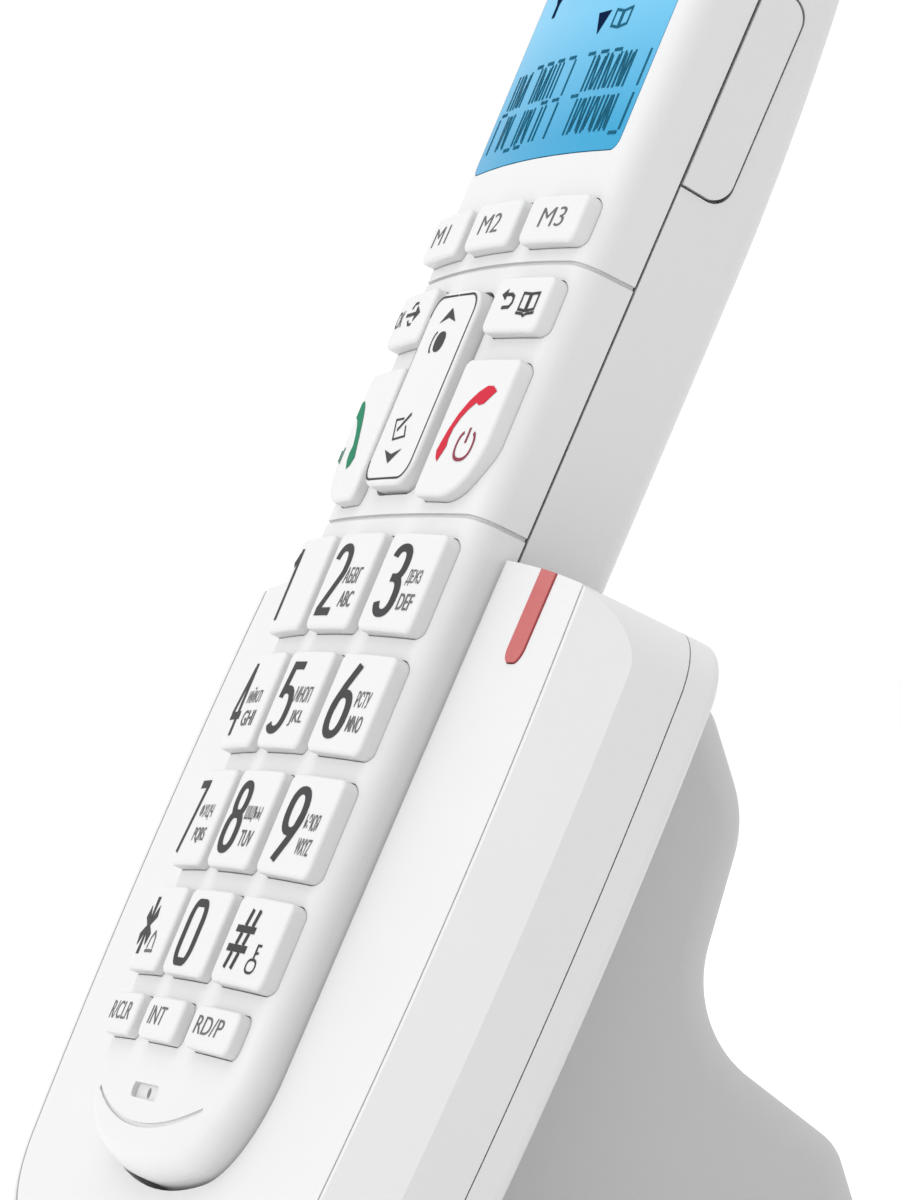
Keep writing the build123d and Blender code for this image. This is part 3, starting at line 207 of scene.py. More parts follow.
# Stand screws: four zinc-plated self-tapping screws that pull the bottom plate to the posts.
# Bright but slightly clouded plating over rolled steel.
screw_steel = finish(
    "screw_steel", (0.62, 0.63, 0.65), shade=0.9,
    gloss=(0.24, 0.42), grain=3200.0, relief=0.10, metal=1.0,
)
dress(screw_steel, "stand_screws", "base_screws", "handset_screws")
# The screws' cross recesses are not cut into the heads: flat dark crosses are laid on them instead, as
# painted shade of the hollow.
recess_painted_shade = finish(
    "recess_painted_shade", (0.10, 0.10, 0.105), shade=0.85,
    gloss=(0.4, 0.55), grain=3200.0, relief=0.10, sheen=0.2,
)
SCREW_HEAD_Z = 1.2
RECESS_R = 1.2
RECESS_W = 0.25


def cross_recess(u, v):
    """Flat cross in the middle of a screw's head, to be coloured dark as painted shade inside its
    recess.
    """
    outline = []
    for quarter in range(4):
        turn = quarter * math.pi / 2
        along = Vector((math.cos(turn), math.sin(turn)))
        across = Vector((-along.y, along.x))
        tip = along * RECESS_R
        side = across * RECESS_W
        root = (along + across) * RECESS_W
        for corner in (tip - side, tip + side, root):
            outline.append((u + corner.x, v + corner.y))
    return patch(*outline)


STAND_SCREW_U = 33.2
STAND_SCREW_V = (-16.02, 22.18)
# Painted shade of the recesses of the stand screws, under the bottom plate.
plate_recesses = [cross_recess(u, v) for u in (-STAND_SCREW_U, STAND_SCREW_U) for v in STAND_SCREW_V]
plate_head = PLATE_Z - SCREW_HEAD_Z + INK_LIFT
laid_on("stand_screw_recess_painted_shade", plate_recesses, under_plate, plate_head, recess_painted_shade, "base", True)

# Sockets and board in the foot: black nylon jack bodies soldered to a small green board.
# The jacks end just short of the openings in the stand's back wall.
jack_nylon = finish(
    "jack_nylon", (0.035, 0.035, 0.038), shade=0.8,
    gloss=(0.42, 0.58), grain=2600.0, relief=0.12,
)
dress(jack_nylon, "line_jack", "power_jack")
wire_gold = finish(
    "wire_gold", (0.75, 0.55, 0.2), shade=0.93,
    gloss=(0.2, 0.35), grain=3000.0, relief=0.05, metal=1.0,
)
SOCKET_U = -15.0
WIRES = 4
WIRE_PITCH = 1.02
WIRE_W = 0.45
WIRE_L = 9.6
WIRE_MOUTH_Y = 28.6
WIRE_FOOT_Z = 8.0
WIRE_SLANT = 0.32


def in_socket(u, v, lift):
    """Point on the slanting row of spring wires in the line socket, in mm; v runs inwards."""
    return Vector((u, WIRE_MOUTH_Y - v, WIRE_FOOT_Z + WIRE_SLANT * v + lift))


spring_wires = []
for number in range(WIRES):
    wire_u = SOCKET_U + WIRE_PITCH * (number - (WIRES - 1) / 2)
    spring_wires.append(stroke(((wire_u, 0.0), (wire_u, WIRE_L)), WIRE_W))
laid_on("socket_wires", spring_wires, in_socket, 0.0, wire_gold, "base", True)
board_lacquer = finish(
    "board_lacquer", (0.03, 0.17, 0.07), shade=0.75,
    gloss=(0.28, 0.45), grain=900.0, relief=0.25,
)
dress(board_lacquer, "base_board", "handset_board", "ring_lamp")

# Slanted plate of the base: rear shell, front shell with its bevelled side frame, and the front
# panel with the handset's trough, all white ABS with the same fine grain, screwed from behind.
shell_plastic = finish(
    "shell_plastic", (0.53, 0.53, 0.535), shade=0.988,
    gloss=(0.38, 0.48), grain=2600.0, relief=0.07, sheen=0.25,
)
dress(shell_plastic, "base_front_shell", "base_rear_shell", "page_key")
panel_plastic = finish(
    "panel_plastic", (0.53, 0.53, 0.535), shade=0.99,
    gloss=(0.36, 0.46), grain=2600.0, relief=0.06, sheen=0.25,
)
dress(panel_plastic, "base_front_panel")
LEAN = math.radians(24.6)
SET_BACK = 43.02546
SET_UP = 18.8


def leaning(u, v, depth):
    """Point in the leaning frame: u across, v up the slope, depth back from the front face, in mm."""
    y = v * math.sin(LEAN) + depth * math.cos(LEAN) - SET_BACK
    z = SET_UP + v * math.cos(LEAN) - depth * math.sin(LEAN)
    return Vector((u, y, z))


BASE_HEAD_DEPTH = 21.475
BASE_SCREWS = ((-51.53, 8.0), (51.53, 8.0), (-52.79, 58.0), (52.79, 58.0))
# Painted shade of the recesses of the base screws, on the back of the plate.
base_recesses = [cross_recess(u, v) for u, v in BASE_SCREWS]
base_head = BASE_HEAD_DEPTH + INK_LIFT
laid_on("base_screw_recess_painted_shade", base_recesses, leaning, base_head, recess_painted_shade, "base", True)

# Charging pins of the base and plates of the handset: stamped spring bronze with a nickel skin,
# pushed into windows of the plastic; also the end contacts of the battery compartment.
contact_nickel = finish(
    "contact_nickel", (0.66, 0.63, 0.57), shade=0.92,
    gloss=(0.2, 0.36), grain=3000.0, relief=0.08, metal=1.0,
)
dress(contact_nickel, "base_charge_contacts", "handset_charge_contacts", "battery_contacts")

# Ring light: a red see-through polycarbonate strip let into the panel and bent over its top edge.
# A lamp behind it makes it glow when a call comes in; unlit it is a dull brick red.
strip_red = finish(
    "strip_red", (0.38, 0.075, 0.075), shade=0.93,
    gloss=(0.22, 0.32), grain=900.0, relief=0.04, sheen=0.15,
)
dress(strip_red, "ring_light")

# Handset case: front and rear cover in glossy white ABS, clipped and screwed together along the
# dark parting line; the side key and the battery door are cut from the same material.
case_plastic = finish(
    "case_plastic", (0.53, 0.53, 0.535), shade=0.99,
    gloss=(0.33, 0.43), grain=2600.0, relief=0.06, sheen=0.25,
)
dress(case_plastic, "handset_front_cover", "handset_rear_cover", "battery_door", "side_key")
# Painted shade of the recesses of the case screws, on the back of the handset.
CASE_SCREW_U = 15.0
CASE_SCREWS = (("low", 9.6, 16.725), ("top", 160.9, 12.96))
for end, screw_v, head_depth in CASE_SCREWS:
    recesses = [cross_recess(u, screw_v) for u in (-CASE_SCREW_U, CASE_SCREW_U)]
    case_head = head_depth + INK_LIFT
    mark = f"case_screw_recess_painted_shade_{end}"
    laid_on(mark, recesses, leaning, case_head, recess_painted_shade, "handset", True)

# Thumb grip of the battery door: five low ribs moulded on the door near its free upper end.
# They stand a third of a millimetre proud of the door's bowed back.
HANDSET_T = 19.325
BACK_BOW_V = 112.0
BACK_BOW_R = 320.0
RIB_V = (121.0, 122.9, 124.8, 126.7, 128.6)
RIB_HALF_L = 6.5
RIB_HALF_W = 0.45
RIB_RISE = 0.3
RIB_ROOT = -0.05
RIB_END_SLOPE = 0.4
RIB_SIDES = ((0, 2, 3, 1), (2, 4, 5, 3), (0, 4, 2), (1, 3, 5))
rib_corners = []
rib_faces = []
for rib_v in RIB_V:
    first = len(rib_corners)
    low_edge = (rib_v - RIB_HALF_W, RIB_HALF_L, RIB_ROOT)
    crest = (rib_v, RIB_HALF_L - RIB_END_SLOPE, RIB_RISE)
    high_edge = (rib_v + RIB_HALF_W, RIB_HALF_L, RIB_ROOT)
    for v, half_l, rise in (low_edge, crest, high_edge):
        depth = HANDSET_T - BACK_BOW_R + math.sqrt(BACK_BOW_R ** 2 - (v - BACK_BOW_V) ** 2) + rise
        rib_corners.append(leaning(-half_l, v, depth) / MM_IN_M)
        rib_corners.append(leaning(half_l, v, depth) / MM_IN_M)
    for side in RIB_SIDES:
        rib_faces.append([first + corner for corner in side])
rib_mesh = bpy.data.meshes.new("door_ribs")
rib_mesh.from_pydata(rib_corners, [], rib_faces)
rib_mesh.materials.append(case_plastic)
door_ribs = bpy.data.objects.new("door_ribs", rib_mesh)
bpy.context.scene.collection.objects.link(door_ribs)
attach(door_ribs, "battery_door")

# Works of the handset: black sound parts, a grey rubber dome sheet, a pale grey tray and two
# cells in a green sleeve. They are seen only through slots or with the door open.
sound_black = finish(
    "sound_black", (0.02, 0.02, 0.022), shade=0.8,
    gloss=(0.5, 0.65), grain=1500.0, relief=0.3,
)
dress(sound_black, "earpiece", "loudspeaker", "microphone")
dome_rubber = finish(
    "dome_rubber", (0.36, 0.37, 0.38), shade=0.94,
    gloss=(0.6, 0.75), grain=1800.0, relief=0.15,
)
dress(dome_rubber, "keypad_membrane")
tray_plastic = finish(
    "tray_plastic", (0.5, 0.5, 0.5), shade=0.97,
    gloss=(0.4, 0.52), grain=2600.0, relief=0.08,
)
dress(tray_plastic, "battery_tray")
cell_sleeve = finish(
    "cell_sleeve", (0.10, 0.36, 0.20), shade=0.92,
    gloss=(0.22, 0.34), grain=1200.0, relief=0.05,
)
dress(cell_sleeve, "battery_cells")

# Display: a clear window cemented on a ledge of the front cover over a blue-lit glass panel.
# The panel shows a row of tall segment characters with small signs above, paler towards the top.
display_blue = finish(
    "display_blue", (0.113, 0.36, 0.54), shade=0.7,
    gloss=(0.07, 0.12), grain=2600.0, relief=0.005, sheen=0.03,
)
DISPLAY_FOOT_Z = 0.120
DISPLAY_HEAD_Z = 0.156
DISPLAY_FOOT_BLUE = (0.028, 0.24, 0.416, 1.0)
display_tree = display_blue.node_tree
display_place = display_tree.nodes["Texture Coordinate"]
display_tint = display_tree.nodes["Color Ramp"]
height = display_tree.nodes.new("ShaderNodeSeparateXYZ")
display_tree.links.new(display_place.outputs["Object"], height.inputs["Vector"])
climb = display_tree.nodes.new("ShaderNodeMapRange")
climb.inputs["From Min"].default_value = DISPLAY_FOOT_Z
climb.inputs["From Max"].default_value = DISPLAY_HEAD_Z
display_tree.links.new(height.outputs["Z"], climb.inputs["Value"])
display_tree.links.new(climb.outputs["Result"], display_tint.inputs["Fac"])
display_tint.color_ramp.elements[0].color = DISPLAY_FOOT_BLUE
dress(display_blue, "display_lens", "lcd_panel")
glow_white = finish(
    "glow_white", (0.62, 0.66, 0.68), shade=0.97,
    gloss=(0.4, 0.5), grain=2600.0, relief=0.05,
)
dress(glow_white, "lcd_backlight")

FACE_R = 200.0
FACE_SLOPE = math.tan(math.radians(0.76))
TILT_V = 45.0


def on_face(u, v, lift):
    """Point over the crowned front face of the handset, lift above the face, in mm."""
    depth = FACE_R - math.sqrt((FACE_R + lift) ** 2 - u * u) - FACE_SLOPE * (v - TILT_V)
    return leaning(u, v, depth)


segment_ink = finish(
    "segment_ink", (0.014, 0.09, 0.15), shade=0.8,
    gloss=(0.5, 0.6), grain=1500.0, relief=0.02, sheen=0.0,
)
sign_ink = finish(
    "sign_ink", (0.004, 0.012, 0.04), shade=0.8,
    gloss=(0.5, 0.6), grain=1500.0, relief=0.02, sheen=0.0,
)

# the fourteen strokes of one character, in a box one wide and one high
character_strokes = {
    "top": ((0.1, 1.0), (0.9, 1.0)),
    "foot": ((0.1, 0.0), (0.9, 0.0)),
    "upper_left": ((0.0, 0.54), (0.0, 0.97)),
    "upper_right": ((1.0, 0.54), (1.0, 0.97)),
    "lower_left": ((0.0, 0.03), (0.0, 0.46)),
    "lower_right": ((1.0, 0.03), (1.0, 0.46)),
    "middle_left": ((0.1, 0.5), (0.45, 0.5)),
    "middle_right": ((0.55, 0.5), (0.9, 0.5)),
    "slant_upper_left": ((0.16, 0.94), (0.42, 0.55)),
    "slant_upper_right": ((0.84, 0.94), (0.58, 0.55)),
    "slant_lower_left": ((0.16, 0.06), (0.42, 0.45)),
    "slant_lower_right": ((0.84, 0.06), (0.58, 0.45)),
    "stem_upper": ((0.5, 0.55), (0.5, 0.97)),
    "stem_lower": ((0.5, 0.03), (0.5, 0.45)),
}
middle = ("middle_left", "middle_right")
upper_sides = ("upper_left", "upper_right")
lower_sides = ("lower_left", "lower_right")
slants = ("slant_upper_left", "slant_upper_right", "slant_lower_left", "slant_lower_right")
characters = {
    "Y": ("upper_right", "stem_upper", "lower_left") + middle,
    "W": upper_sides + lower_sides + slants,
    "J": ("top", "foot", "upper_right", "lower_right"),
    "8": ("top", "foot") + upper_sides + lower_sides + slants,
    "R": ("top", "stem_upper", "lower_right", "stem_lower") + upper_sides + middle,
    "7": ("top", "upper_right", "lower_right") + middle,
    "N": ("top",) + upper_sides + lower_sides + slants,
    "X": ("stem_upper", "stem_lower") + upper_sides + lower_sides + slants,
    "L": ("foot", "upper_right", "lower_right"),
}
CHARACTER_W = 2.5
CHARACTER_H = 10.3
CHARACTER_V = 122.4
CHARACTER_STEP = 3.6
CHARACTER_LINE = 0.42
for side, start_u, words in (("left", -19.9, "YWJ8R7"), ("right", 3.8, "7NNXL")):
    shapes = []
    for place, letter in enumerate(words):
        for name in characters[letter]:
            line = []
            for across, up in character_strokes[name]:
                u = start_u + place * CHARACTER_STEP + across * CHARACTER_W
                line.append((u, CHARACTER_V + up * CHARACTER_H))
            shapes.append(stroke(line, CHARACTER_LINE))
    laid_on(f"display_row_{side}", shapes, on_face, INK_LIFT, segment_ink, "handset")

pointer = patch((2.0, 137.9), (5.6, 138.0), (3.9, 135.1))
antenna = [
    stroke(((-15.3, 139.3), (-15.3, 141.0)), 1.0),
    patch((-18.1, 143.6), (-12.5, 143.6), (-15.3, 140.4)),
]
laid_on("display_signs", [pointer] + antenna, on_face, INK_LIFT, sign_ink, "handset")
BOOK_LINE = 0.34
open_book = [
    stroke(((7.2, 135.9), (7.2, 137.9), (9.1, 137.6), (9.1, 135.6)), BOOK_LINE, True),
    stroke(((9.5, 135.6), (9.5, 137.6), (11.4, 137.9), (11.4, 135.9)), BOOK_LINE, True),
]
laid_on("display_book", open_book, on_face, INK_LIFT, segment_ink, "handset")

# Keys: separate caps of white ABS standing through the front cover on a rubber dome sheet.
# Figures and letters are screen-printed on the caps in dark grey, the call signs in green and red.
key_plastic = finish(
    "key_plastic", (0.53, 0.53, 0.53), shade=0.99,
    gloss=(0.38, 0.48), grain=2600.0, relief=0.05, sheen=0.25,
)
dress(key_plastic, *[name for name in nodes if name.startswith("key_")])


def printed(name, colour, shade):
    """Screen ink: thin, dull and almost without sheen."""
    return finish(name, colour, shade, gloss=(0.45, 0.6), grain=1500.0, relief=0.05, sheen=0.02)


print_grey = printed("print_grey", (0.048, 0.048, 0.05), 0.85)
print_pale = printed("print_pale", (0.115, 0.115, 0.118), 0.85)
print_green = printed("print_green", (0.012, 0.165, 0.085), 0.88)
print_red = printed("print_red", (0.43, 0.022, 0.04), 0.9)
print_wine = printed("print_wine", (0.20, 0.04, 0.06), 0.9)
KEY_TOP = 1.5


def on_key(name, shapes, ink, key):
    """One mark printed on the top of a key."""
    laid_on(name, shapes, on_face, KEY_TOP + INK_LIFT, ink, key)


def lettering(words, left, right, foot, head, weight=0.0, slant=0.0):
    """Printed words fitted into a box on the front face, from the plain built-in typeface."""
    curve = bpy.data.curves.new("lettering", "FONT")
    curve.body = words
    curve.offset = weight
    curve.shear = slant
    curve.resolution_u = 6
    drawn = bpy.data.objects.new("lettering", curve)
    bpy.context.scene.collection.objects.link(drawn)
    bpy.context.view_layer.update()
    flat = drawn.evaluated_get(bpy.context.evaluated_depsgraph_get()).to_mesh()
    corners = [tuple(corner.co[:2]) for corner in flat.vertices]
    faces = [tuple(face.vertices) for face in flat.polygons]
    bpy.data.objects.remove(drawn)
    bpy.data.curves.remove(curve)
    low_x = min(x for x, y in corners)
    wide = max(x for x, y in corners) - low_x
    low_y = min(y for x, y in corners)
    tall = max(y for x, y in corners) - low_y
    points = []
    for x, y in corners:
        u = left + (x - low_x) / wide * (right - left)
        v = foot + (y - low_y) / tall * (head - foot)
        points.append((u, v))
    return points, faces


BOW_FULLNESS = 0.84


def bow(across, up, half_w, half_h, start, end, steps=20):
    """Points along an oval; angles run anticlockwise from the right."""
    line = []
    for number in range(steps + 1):
        turn = math.radians(start + (end - start) * number / steps)
        over = math.copysign(abs(math.cos(turn)) ** BOW_FULLNESS, math.cos(turn))
        rise = math.copysign(abs(math.sin(turn)) ** BOW_FULLNESS, math.sin(turn))
        line.append((across + half_w * over, up + half_h * rise))
    return line


# centre lines of the figures, in a box one wide and one high, and whether they close
six_bowl = bow(0.5, 0.31, 0.5, 0.31, 0.0, 345.0, 23)
six_neck = [(0.8, 1.06), (0.34, 0.74), (0.12, 0.54), (0.0, 0.34)]
figure_lines = {
    "1": (([(0.35, -0.07), (0.35, 1.07)], False), ([(-0.12, 0.82), (0.28, 0.98)], False)),
    "2": (
        (bow(0.5, 0.73, 0.5, 0.27, 165.0, -30.0) + [(0.04, 0.02)], False),
        ([(-0.08, 0.0), (1.06, 0.0)], False),
    ),
    "3": (
        (bow(0.48, 0.77, 0.46, 0.23, 162.0, -90.0) + [(0.3, 0.54)], False),
        (bow(0.5, 0.27, 0.5, 0.27, 90.0, -162.0), False),
    ),
    "4": (
        ([(0.74, -0.07), (0.74, 1.07)], False),
        ([(-0.12, 0.25), (1.12, 0.25)], False),
        ([(-0.04, 0.28), (0.68, 1.0)], False),
    ),
    "5": (
        ([(1.04, 1.0), (0.26, 1.0), (0.06, 0.5)], False),
        (bow(0.44, 0.315, 0.56, 0.315, 132.0, -140.0), False),
    ),
    "6": ((six_bowl, True), (six_neck, False)),
    "7": (([(-0.1, 1.0), (1.1, 1.0)], False), ([(0.95, 1.0), (0.22, -0.07)], False)),
    "8": (
        (bow(0.5, 0.77, 0.42, 0.23, 0.0, 345.0, 23), True),
        (bow(0.5, 0.275, 0.5, 0.275, 0.0, 345.0, 23), True),
    ),
    "9": (
        ([(1.0 - across, 1.0 - up) for across, up in six_bowl], True),
        ([(1.0 - across, 1.0 - up) for across, up in six_neck], False),
    ),
}
FIGURE_LINE = 0.95
FIGURE_STEM = (1.1, 1.5, 1.5)
FIGURE_LEFT = (-23.1, -5.4, 12.2)
FIGURE_W = (4.6, 5.7, 5.5)
FIGURE_FOOT = 1.5
FIGURE_H = 8.6
UPPER_LETTERS_LEFT = (-18.0, 0.3, 18.3)
LOWER_LETTERS_LEFT = (-16.8, 1.6, 18.5)
UPPER_LETTERS_W = (5.6, 5.0, 3.4)
LOWER_LETTERS_W = (5.0, 3.9, 3.5)
UPPER_LETTERS_FOOT = 5.3
LOWER_LETTERS_FOOT = 2.5
LETTERS_H = 1.9
LETTERS_WEIGHT = 0.01
digit_rows = (
    (63.2, (("1", "", ""), ("2", "АБВГ", "ABC"), ("3", "ДЕЖЗ", "DEF"))),
    (49.1, (("4", "ИЙКЛ", "GHI"), ("5", "МНОП", "JKL"), ("6", "РСТУ", "MNO"))),
    (35.0, (("7", "ФХЦЧ", "PQRS"), ("8", "ШЩЪЫ", "TUV"), ("9", "ЬЭЮЯ", "WXYZ"))),
)
for row_v, row in digit_rows:
    for column, (figure, upper, lower) in enumerate(row):
        left = FIGURE_LEFT[column]
        stem = FIGURE_STEM[column]
        foot = row_v + FIGURE_FOOT
        shapes = []
        for line, closed in figure_lines[figure]:
            points = []
            for across, up in line:
                u = left + stem / 2 + across * (FIGURE_W[column] - stem)
                v = foot + FIGURE_LINE / 2 + up * (FIGURE_H - FIGURE_LINE)
                points.append((u * FIGURE_LINE / stem, v))
            points, faces = stroke(points, FIGURE_LINE, closed)
            shapes.append(([(u * stem / FIGURE_LINE, v) for u, v in points], faces))
        on_key(f"figure_{figure}", shapes, print_grey, f"key_{figure}")
        if upper:
            left = UPPER_LETTERS_LEFT[column]
            right = left + UPPER_LETTERS_W[column]
            foot = row_v + UPPER_LETTERS_FOOT
            shapes = [lettering(upper, left, right, foot, foot + LETTERS_H, LETTERS_WEIGHT)]
            left = LOWER_LETTERS_LEFT[column]
            right = left + LOWER_LETTERS_W[column]
            foot = row_v + LOWER_LETTERS_FOOT
            shapes.append(lettering(lower, left, right, foot, foot + LETTERS_H, LETTERS_WEIGHT))
            on_key(f"letters_{figure}", shapes, print_pale, f"key_{figure}")

# the nought is a rounded frame, drawn as a row of outer and inner points
NOUGHT_LEFT = -2.35
NOUGHT_RIGHT = -0.35
NOUGHT_LOW = 25.95
NOUGHT_HIGH = 28.55
NOUGHT_OUTSIDE = (2.0, 2.6)
NOUGHT_INSIDE = (0.6, 1.65)
NOUGHT_STEPS = 6
nought_corners = (
    (NOUGHT_RIGHT, NOUGHT_HIGH),
    (NOUGHT_LEFT, NOUGHT_HIGH),
    (NOUGHT_LEFT, NOUGHT_LOW),
    (NOUGHT_RIGHT, NOUGHT_LOW),
)
nought_points = []
for corner, (u, v) in enumerate(nought_corners):
    for step in range(NOUGHT_STEPS + 1):
        turn = math.radians(90 * corner + 90 / NOUGHT_STEPS * step)
        for half_w, half_h in (NOUGHT_OUTSIDE, NOUGHT_INSIDE):
            nought_points.append((u + half_w * math.cos(turn), v + half_h * math.sin(turn)))
nought_faces = []
for here in range(0, len(nought_points), 2):
    there = (here + 2) % len(nought_points)
    nought_faces.append((here, there, there + 1, here + 1))
on_key("figure_0", [(nought_points, nought_faces)], print_grey, "key_0")

HASH_FOOT_V = 24.1
HASH_SLANT = 0.28
HASH_STEM = 0.75
hash_sign = [
    stroke(((11.6, 26.4), (16.8, 26.4)), 0.85),
    stroke(((12.1, 28.6), (17.2, 28.6)), 0.8),
]
for foot_u in (12.8, 14.7):
    for low, high in ((HASH_FOOT_V, 25.97), (26.83, 28.2), (29.0, 30.9)):
        low_u = foot_u + HASH_SLANT * (low - HASH_FOOT_V)
        high_u = foot_u + HASH_SLANT * (high - HASH_FOOT_V)
        hash_sign.append(stroke(((low_u, low), (high_u, high)), HASH_STEM))
on_key("figure_hash", hash_sign, print_grey, "key_hash")
LOCK_LINE = 0.3
lock_sign = [
    stroke(bow(19.5, 24.8, 1.15, 0.75, 0.0, 345.0, 23), LOCK_LINE, True),
    stroke(((19.5, 25.7), (19.5, 27.3)), 0.34),
    stroke(((19.67, 27.15), (20.45, 27.15)), LOCK_LINE),
    stroke(((19.67, 26.3), (20.3, 26.3)), LOCK_LINE),
]
on_key("sign_lock", lock_sign, print_grey, "key_hash")

STAR_U = -20.2
STAR_V = 27.6
STAR_NARROW = 0.82
STAR_ARMS = 6
STAR_ARM = ((0.7, -0.45), (3.4, -0.85), (3.4, 0.85), (0.7, 0.45))
STAR_HUB = (0.66, 0.8)
star_sign = []
hub = []
for arm in range(STAR_ARMS):
    turn = math.radians(30 + 60 * arm)
    along = Vector((math.cos(turn), math.sin(turn)))
    across = Vector((-along.y, along.x))
    corners = []
    for reach, half in STAR_ARM:
        corner = along * reach + across * half
        corners.append((STAR_U + STAR_NARROW * corner.x, STAR_V + corner.y))
    star_sign.append(patch(*corners))
    turn = math.radians(60 * arm)
    hub.append((STAR_U + STAR_HUB[0] * math.cos(turn), STAR_V + STAR_HUB[1] * math.sin(turn)))
star_sign.append(patch(*hub))
on_key("figure_star", star_sign, print_grey, "key_star")
bell_sign = [
    stroke(((-16.6, 24.9), (-16.2, 26.2), (-15.3, 26.9), (-14.4, 26.2), (-14.0, 24.9)), 0.34),
    stroke(((-17.0, 24.6), (-13.6, 24.6)), 0.36),
]
on_key("sign_bell", bell_sign, print_pale, "key_star")

WORDS_FOOT = 16.5
WORDS_HEAD = 18.6
WORDS_SLANT = 0.08
small_words = (
    ("key_clear", "R/CLR", -21.0, -11.8),
    ("key_int", "INT", -3.7, 1.7),
    ("key_redial", "RD/P", 11.7, 19.2),
)
for key, words, left, right in small_words:
    shapes = [lettering(words, left, right, WORDS_FOOT, WORDS_HEAD, slant=WORDS_SLANT)]
    on_key(f"word_{key}", shapes, print_pale, key)
MEMORY_W = 6.1
MEMORY_FOOT = 110.6
MEMORY_HEAD = 112.9
MEMORY_WEIGHT = -0.008
MEMORY_SLANT = 0.06
for number, left in ((1, -21.4), (2, -3.6), (3, 13.9)):
    right = left + MEMORY_W
    words = f"M{number}"
    shapes = [lettering(words, left, right, MEMORY_FOOT, MEMORY_HEAD, MEMORY_WEIGHT, MEMORY_SLANT)]
    on_key(f"word_memory_{number}", shapes, print_pale, f"key_m{number}")

BRANCH_LINE = 0.35
ok_word = [
    lettering("OK", -22.8, -20.0, 100.6, 102.7, slant=0.05),
    stroke(((-18.9, 101.9), (-15.1, 101.9)), 0.45),
    patch((-15.3, 102.9), (-13.3, 101.9), (-15.3, 100.9)),
    stroke(((-17.4, 102.6), (-16.6, 103.2), (-15.4, 103.2)), BRANCH_LINE),
    stroke(((-17.4, 101.2), (-16.6, 100.6), (-15.4, 100.6)), BRANCH_LINE),
]
on_key("word_ok", ok_word, print_grey, "key_ok")
return_line = ((13.5, 102.6), (15.0, 102.6), (15.7, 102.3), (15.8, 101.6), (15.3, 101.1), (13.5, 101.05))
return_sign = [stroke(return_line, 0.42), patch((13.7, 103.3), (13.7, 101.9), (12.4, 102.6))]
on_key("sign_return", return_sign, print_grey, "key_back")
book_sign = [
    stroke(((18.0, 100.8), (18.0, 102.7), (19.7, 102.6), (19.7, 100.6)), BOOK_LINE, True),
    stroke(((20.1, 100.6), (20.1, 102.6), (21.8, 102.7), (21.8, 100.8)), BOOK_LINE, True),
    stroke(((17.7, 100.4), (19.4, 100.25), (19.9, 100.0), (20.4, 100.25), (22.1, 100.4)), BOOK_LINE),
]
on_key("sign_book", book_sign, print_grey, "key_back")

end_receiver = (
    (21.3, 91.2), (20.0, 91.8), (18.6, 91.8), (17.0, 91.1), (15.4, 90.0),
    (14.0, 88.5), (13.0, 86.8), (12.4, 85.2), (12.1, 84.2), (12.6, 83.4),
    (13.3, 82.9), (13.8, 83.7), (14.3, 84.7), (14.0, 85.6), (14.2, 86.8),
    (15.0, 88.0), (16.1, 89.0), (17.4, 89.8), (18.3, 89.5), (19.3, 89.7),
)
on_key("sign_end", [patch(*end_receiver)], print_red, "key_end")
POWER_LINE = 0.42
power_sign = [
    stroke(bow(18.7, 84.85, 2.0, 1.7, 122.0, 418.0), POWER_LINE),
    stroke(((18.7, 85.1), (18.7, 86.9)), POWER_LINE),
]
on_key("sign_power", power_sign, print_wine, "key_end")
talk_receiver = (
    (-23.1, 91.5), (-22.2, 91.7), (-20.9, 91.0), (-19.6, 89.8), (-18.3, 88.2),
    (-17.1, 86.6), (-16.2, 85.3), (-15.4, 84.2), (-16.2, 83.3), (-17.2, 82.9),
    (-18.4, 84.0), (-18.8, 85.0), (-18.5, 85.9), (-19.4, 87.2), (-20.6, 88.4),
    (-21.9, 89.3), (-23.1, 89.7),
)
on_key("sign_talk", [patch(*talk_receiver)], print_green, "key_talk")
hands_free = [
    stroke(((-22.9, 84.2), (-22.9, 85.6)), 0.5),
    stroke(((-22.0, 83.9), (-22.0, 85.9)), 0.4),
]
on_key("sign_speaker", hands_free, print_green, "key_talk")

# Rocker between the call keys: the same white ABS, standing a little higher, framed by a thin
# black line, with an arrow, a call list sign, a note sign and a second arrow printed on it.
NAV_TOP = 1.8
NAV_HALF_W = 6.8
NAV_LOW_V = 80.9
NAV_HIGH_V = 102.9
NAV_LINE_R = 2.3
NAV_LINE_W = 0.27
NAV_FAR_LINE_W = 0.1
SIGN_LINE = 0.28
right_u = NAV_HALF_W - NAV_LINE_R
high_v = NAV_HIGH_V - NAV_LINE_R
low_v = NAV_LOW_V + NAV_LINE_R
nav_corners = (
    (180, -right_u, low_v),
    (270, right_u, low_v),
    (0, right_u, high_v),
    (90, -right_u, high_v),
)
CORNER_STEPS = 8
frame_line = []
for start, u, v in nav_corners:
    for step in range(CORNER_STEPS + 1):
        turn = math.radians(start + 90 * step / CORNER_STEPS)
        frame_line.append((u + NAV_LINE_R * math.cos(turn), v + NAV_LINE_R * math.sin(turn)))
ARROW_HALVES = ((0, 1, 2), (0, 2, 3))
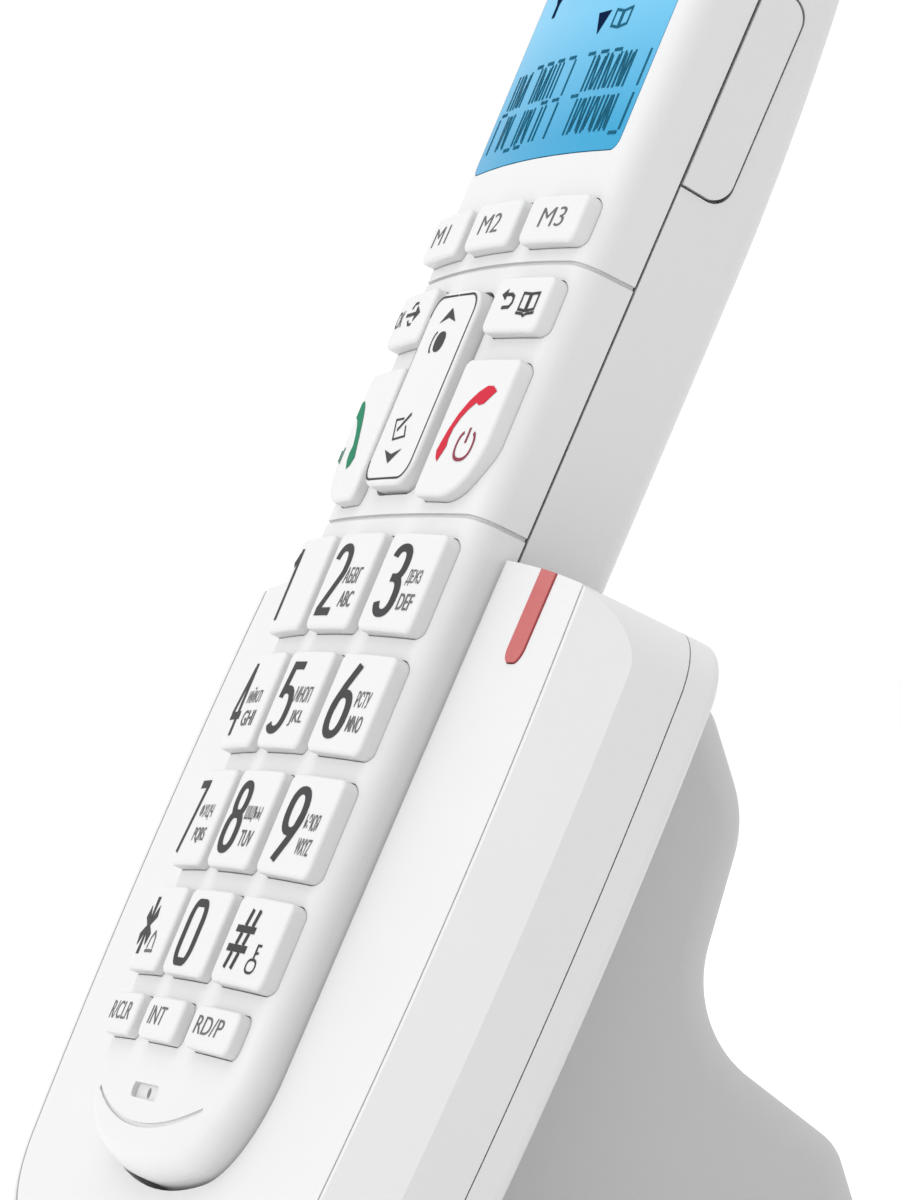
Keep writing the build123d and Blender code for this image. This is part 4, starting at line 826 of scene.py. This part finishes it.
nav_marks = [
    stroke(frame_line, NAV_LINE_W),
    stroke((frame_line[-1], frame_line[0]), NAV_FAR_LINE_W),
    ([(-0.1, 101.4), (-2.6, 99.6), (-0.1, 100.2), (2.5, 99.6)], ARROW_HALVES),
    ([(-0.4, 82.7), (-3.1, 84.4), (-0.4, 83.8), (2.4, 84.4)], ARROW_HALVES),
    stroke(((-1.0, 88.1), (-3.4, 88.0), (-2.0, 85.6), (1.5, 85.9), (0.5, 87.2)), SIGN_LINE),
    stroke(((-1.8, 86.7), (0.9, 88.6)), 0.45),
    patch(*bow(0.0, 97.3, 1.5, 1.25, 0.0, 342.0, 19)),
    stroke(bow(-1.3, 97.3, 1.3, 1.3, 110.0, 250.0), SIGN_LINE),
]
laid_on("sign_rocker", nav_marks, on_face, NAV_TOP + INK_LIFT, print_grey, "key_nav")

# Studio: a plain pale sweep of paper under the phone, an even white surround, a large soft box
# overhead and another straight in front of the phone, so that its flanks lie in soft shade.
paper = bpy.data.meshes.new("paper")
paper_build = bmesh.new()
bmesh.ops.create_grid(paper_build, x_segments=1, y_segments=1, size=8.0)
paper_build.to_mesh(paper)
paper_build.free()
paper_white = finish(
    "paper_white", (0.94, 0.94, 0.94), shade=0.995,
    gloss=(0.8, 0.9), grain=900.0, relief=0.05,
)
paper.materials.append(paper_white)
floor = bpy.data.objects.new("floor", paper)
bpy.context.scene.collection.objects.link(floor)

surround = bpy.data.worlds.new("surround")
bpy.context.scene.world = surround
surround.use_nodes = True
surround.node_tree.nodes["Background"].inputs["Color"].default_value = (1.0, 1.0, 1.0, 1.0)
surround.node_tree.nodes["Background"].inputs["Strength"].default_value = 1.06

box_light = bpy.data.lights.new("soft_box", "AREA")
box_light.size = 1.2
box_light.energy = 8.4
soft_box = bpy.data.objects.new("soft_box", box_light)
soft_box.location = (0.0, -1.25, 0.45)
aim = Vector((0.0, 0.0, 0.08)) - soft_box.location
soft_box.rotation_euler = aim.to_track_quat("-Z", "Y").to_euler()
bpy.context.scene.collection.objects.link(soft_box)
sky_light = bpy.data.lights.new("top_box", "AREA")
sky_light.size = 1.5
sky_light.energy = 9.0
top_box = bpy.data.objects.new("top_box", sky_light)
top_box.location = (0.0, 0.0, 1.2)
bpy.context.scene.collection.objects.link(top_box)

# Camera: a long lens low at the phone's front right, level with the key field. Its line of sight
# rises by a few pixels over the lens's own length in pixels.
lens = bpy.data.cameras.new("camera")
lens.lens = 187.92
lens.sensor_width = 36.0
lens.clip_end = 50.0
camera = bpy.data.objects.new("camera", lens)
camera.location = (0.6445, -0.238126, 0.0772)
SIGHT_X = -0.9397
SIGHT_Y = 0.3420
RISE_PIXELS = 26.0
LENS_PIXELS = 6264.0
rise = math.atan(RISE_PIXELS / LENS_PIXELS)
look = Vector((SIGHT_X * math.cos(rise), SIGHT_Y * math.cos(rise), math.sin(rise)))
camera.rotation_euler = look.to_track_quat("-Z", "Y").to_euler()
bpy.context.scene.collection.objects.link(camera)
bpy.context.scene.camera = camera
bpy.context.scene.view_settings.view_transform = "Standard"
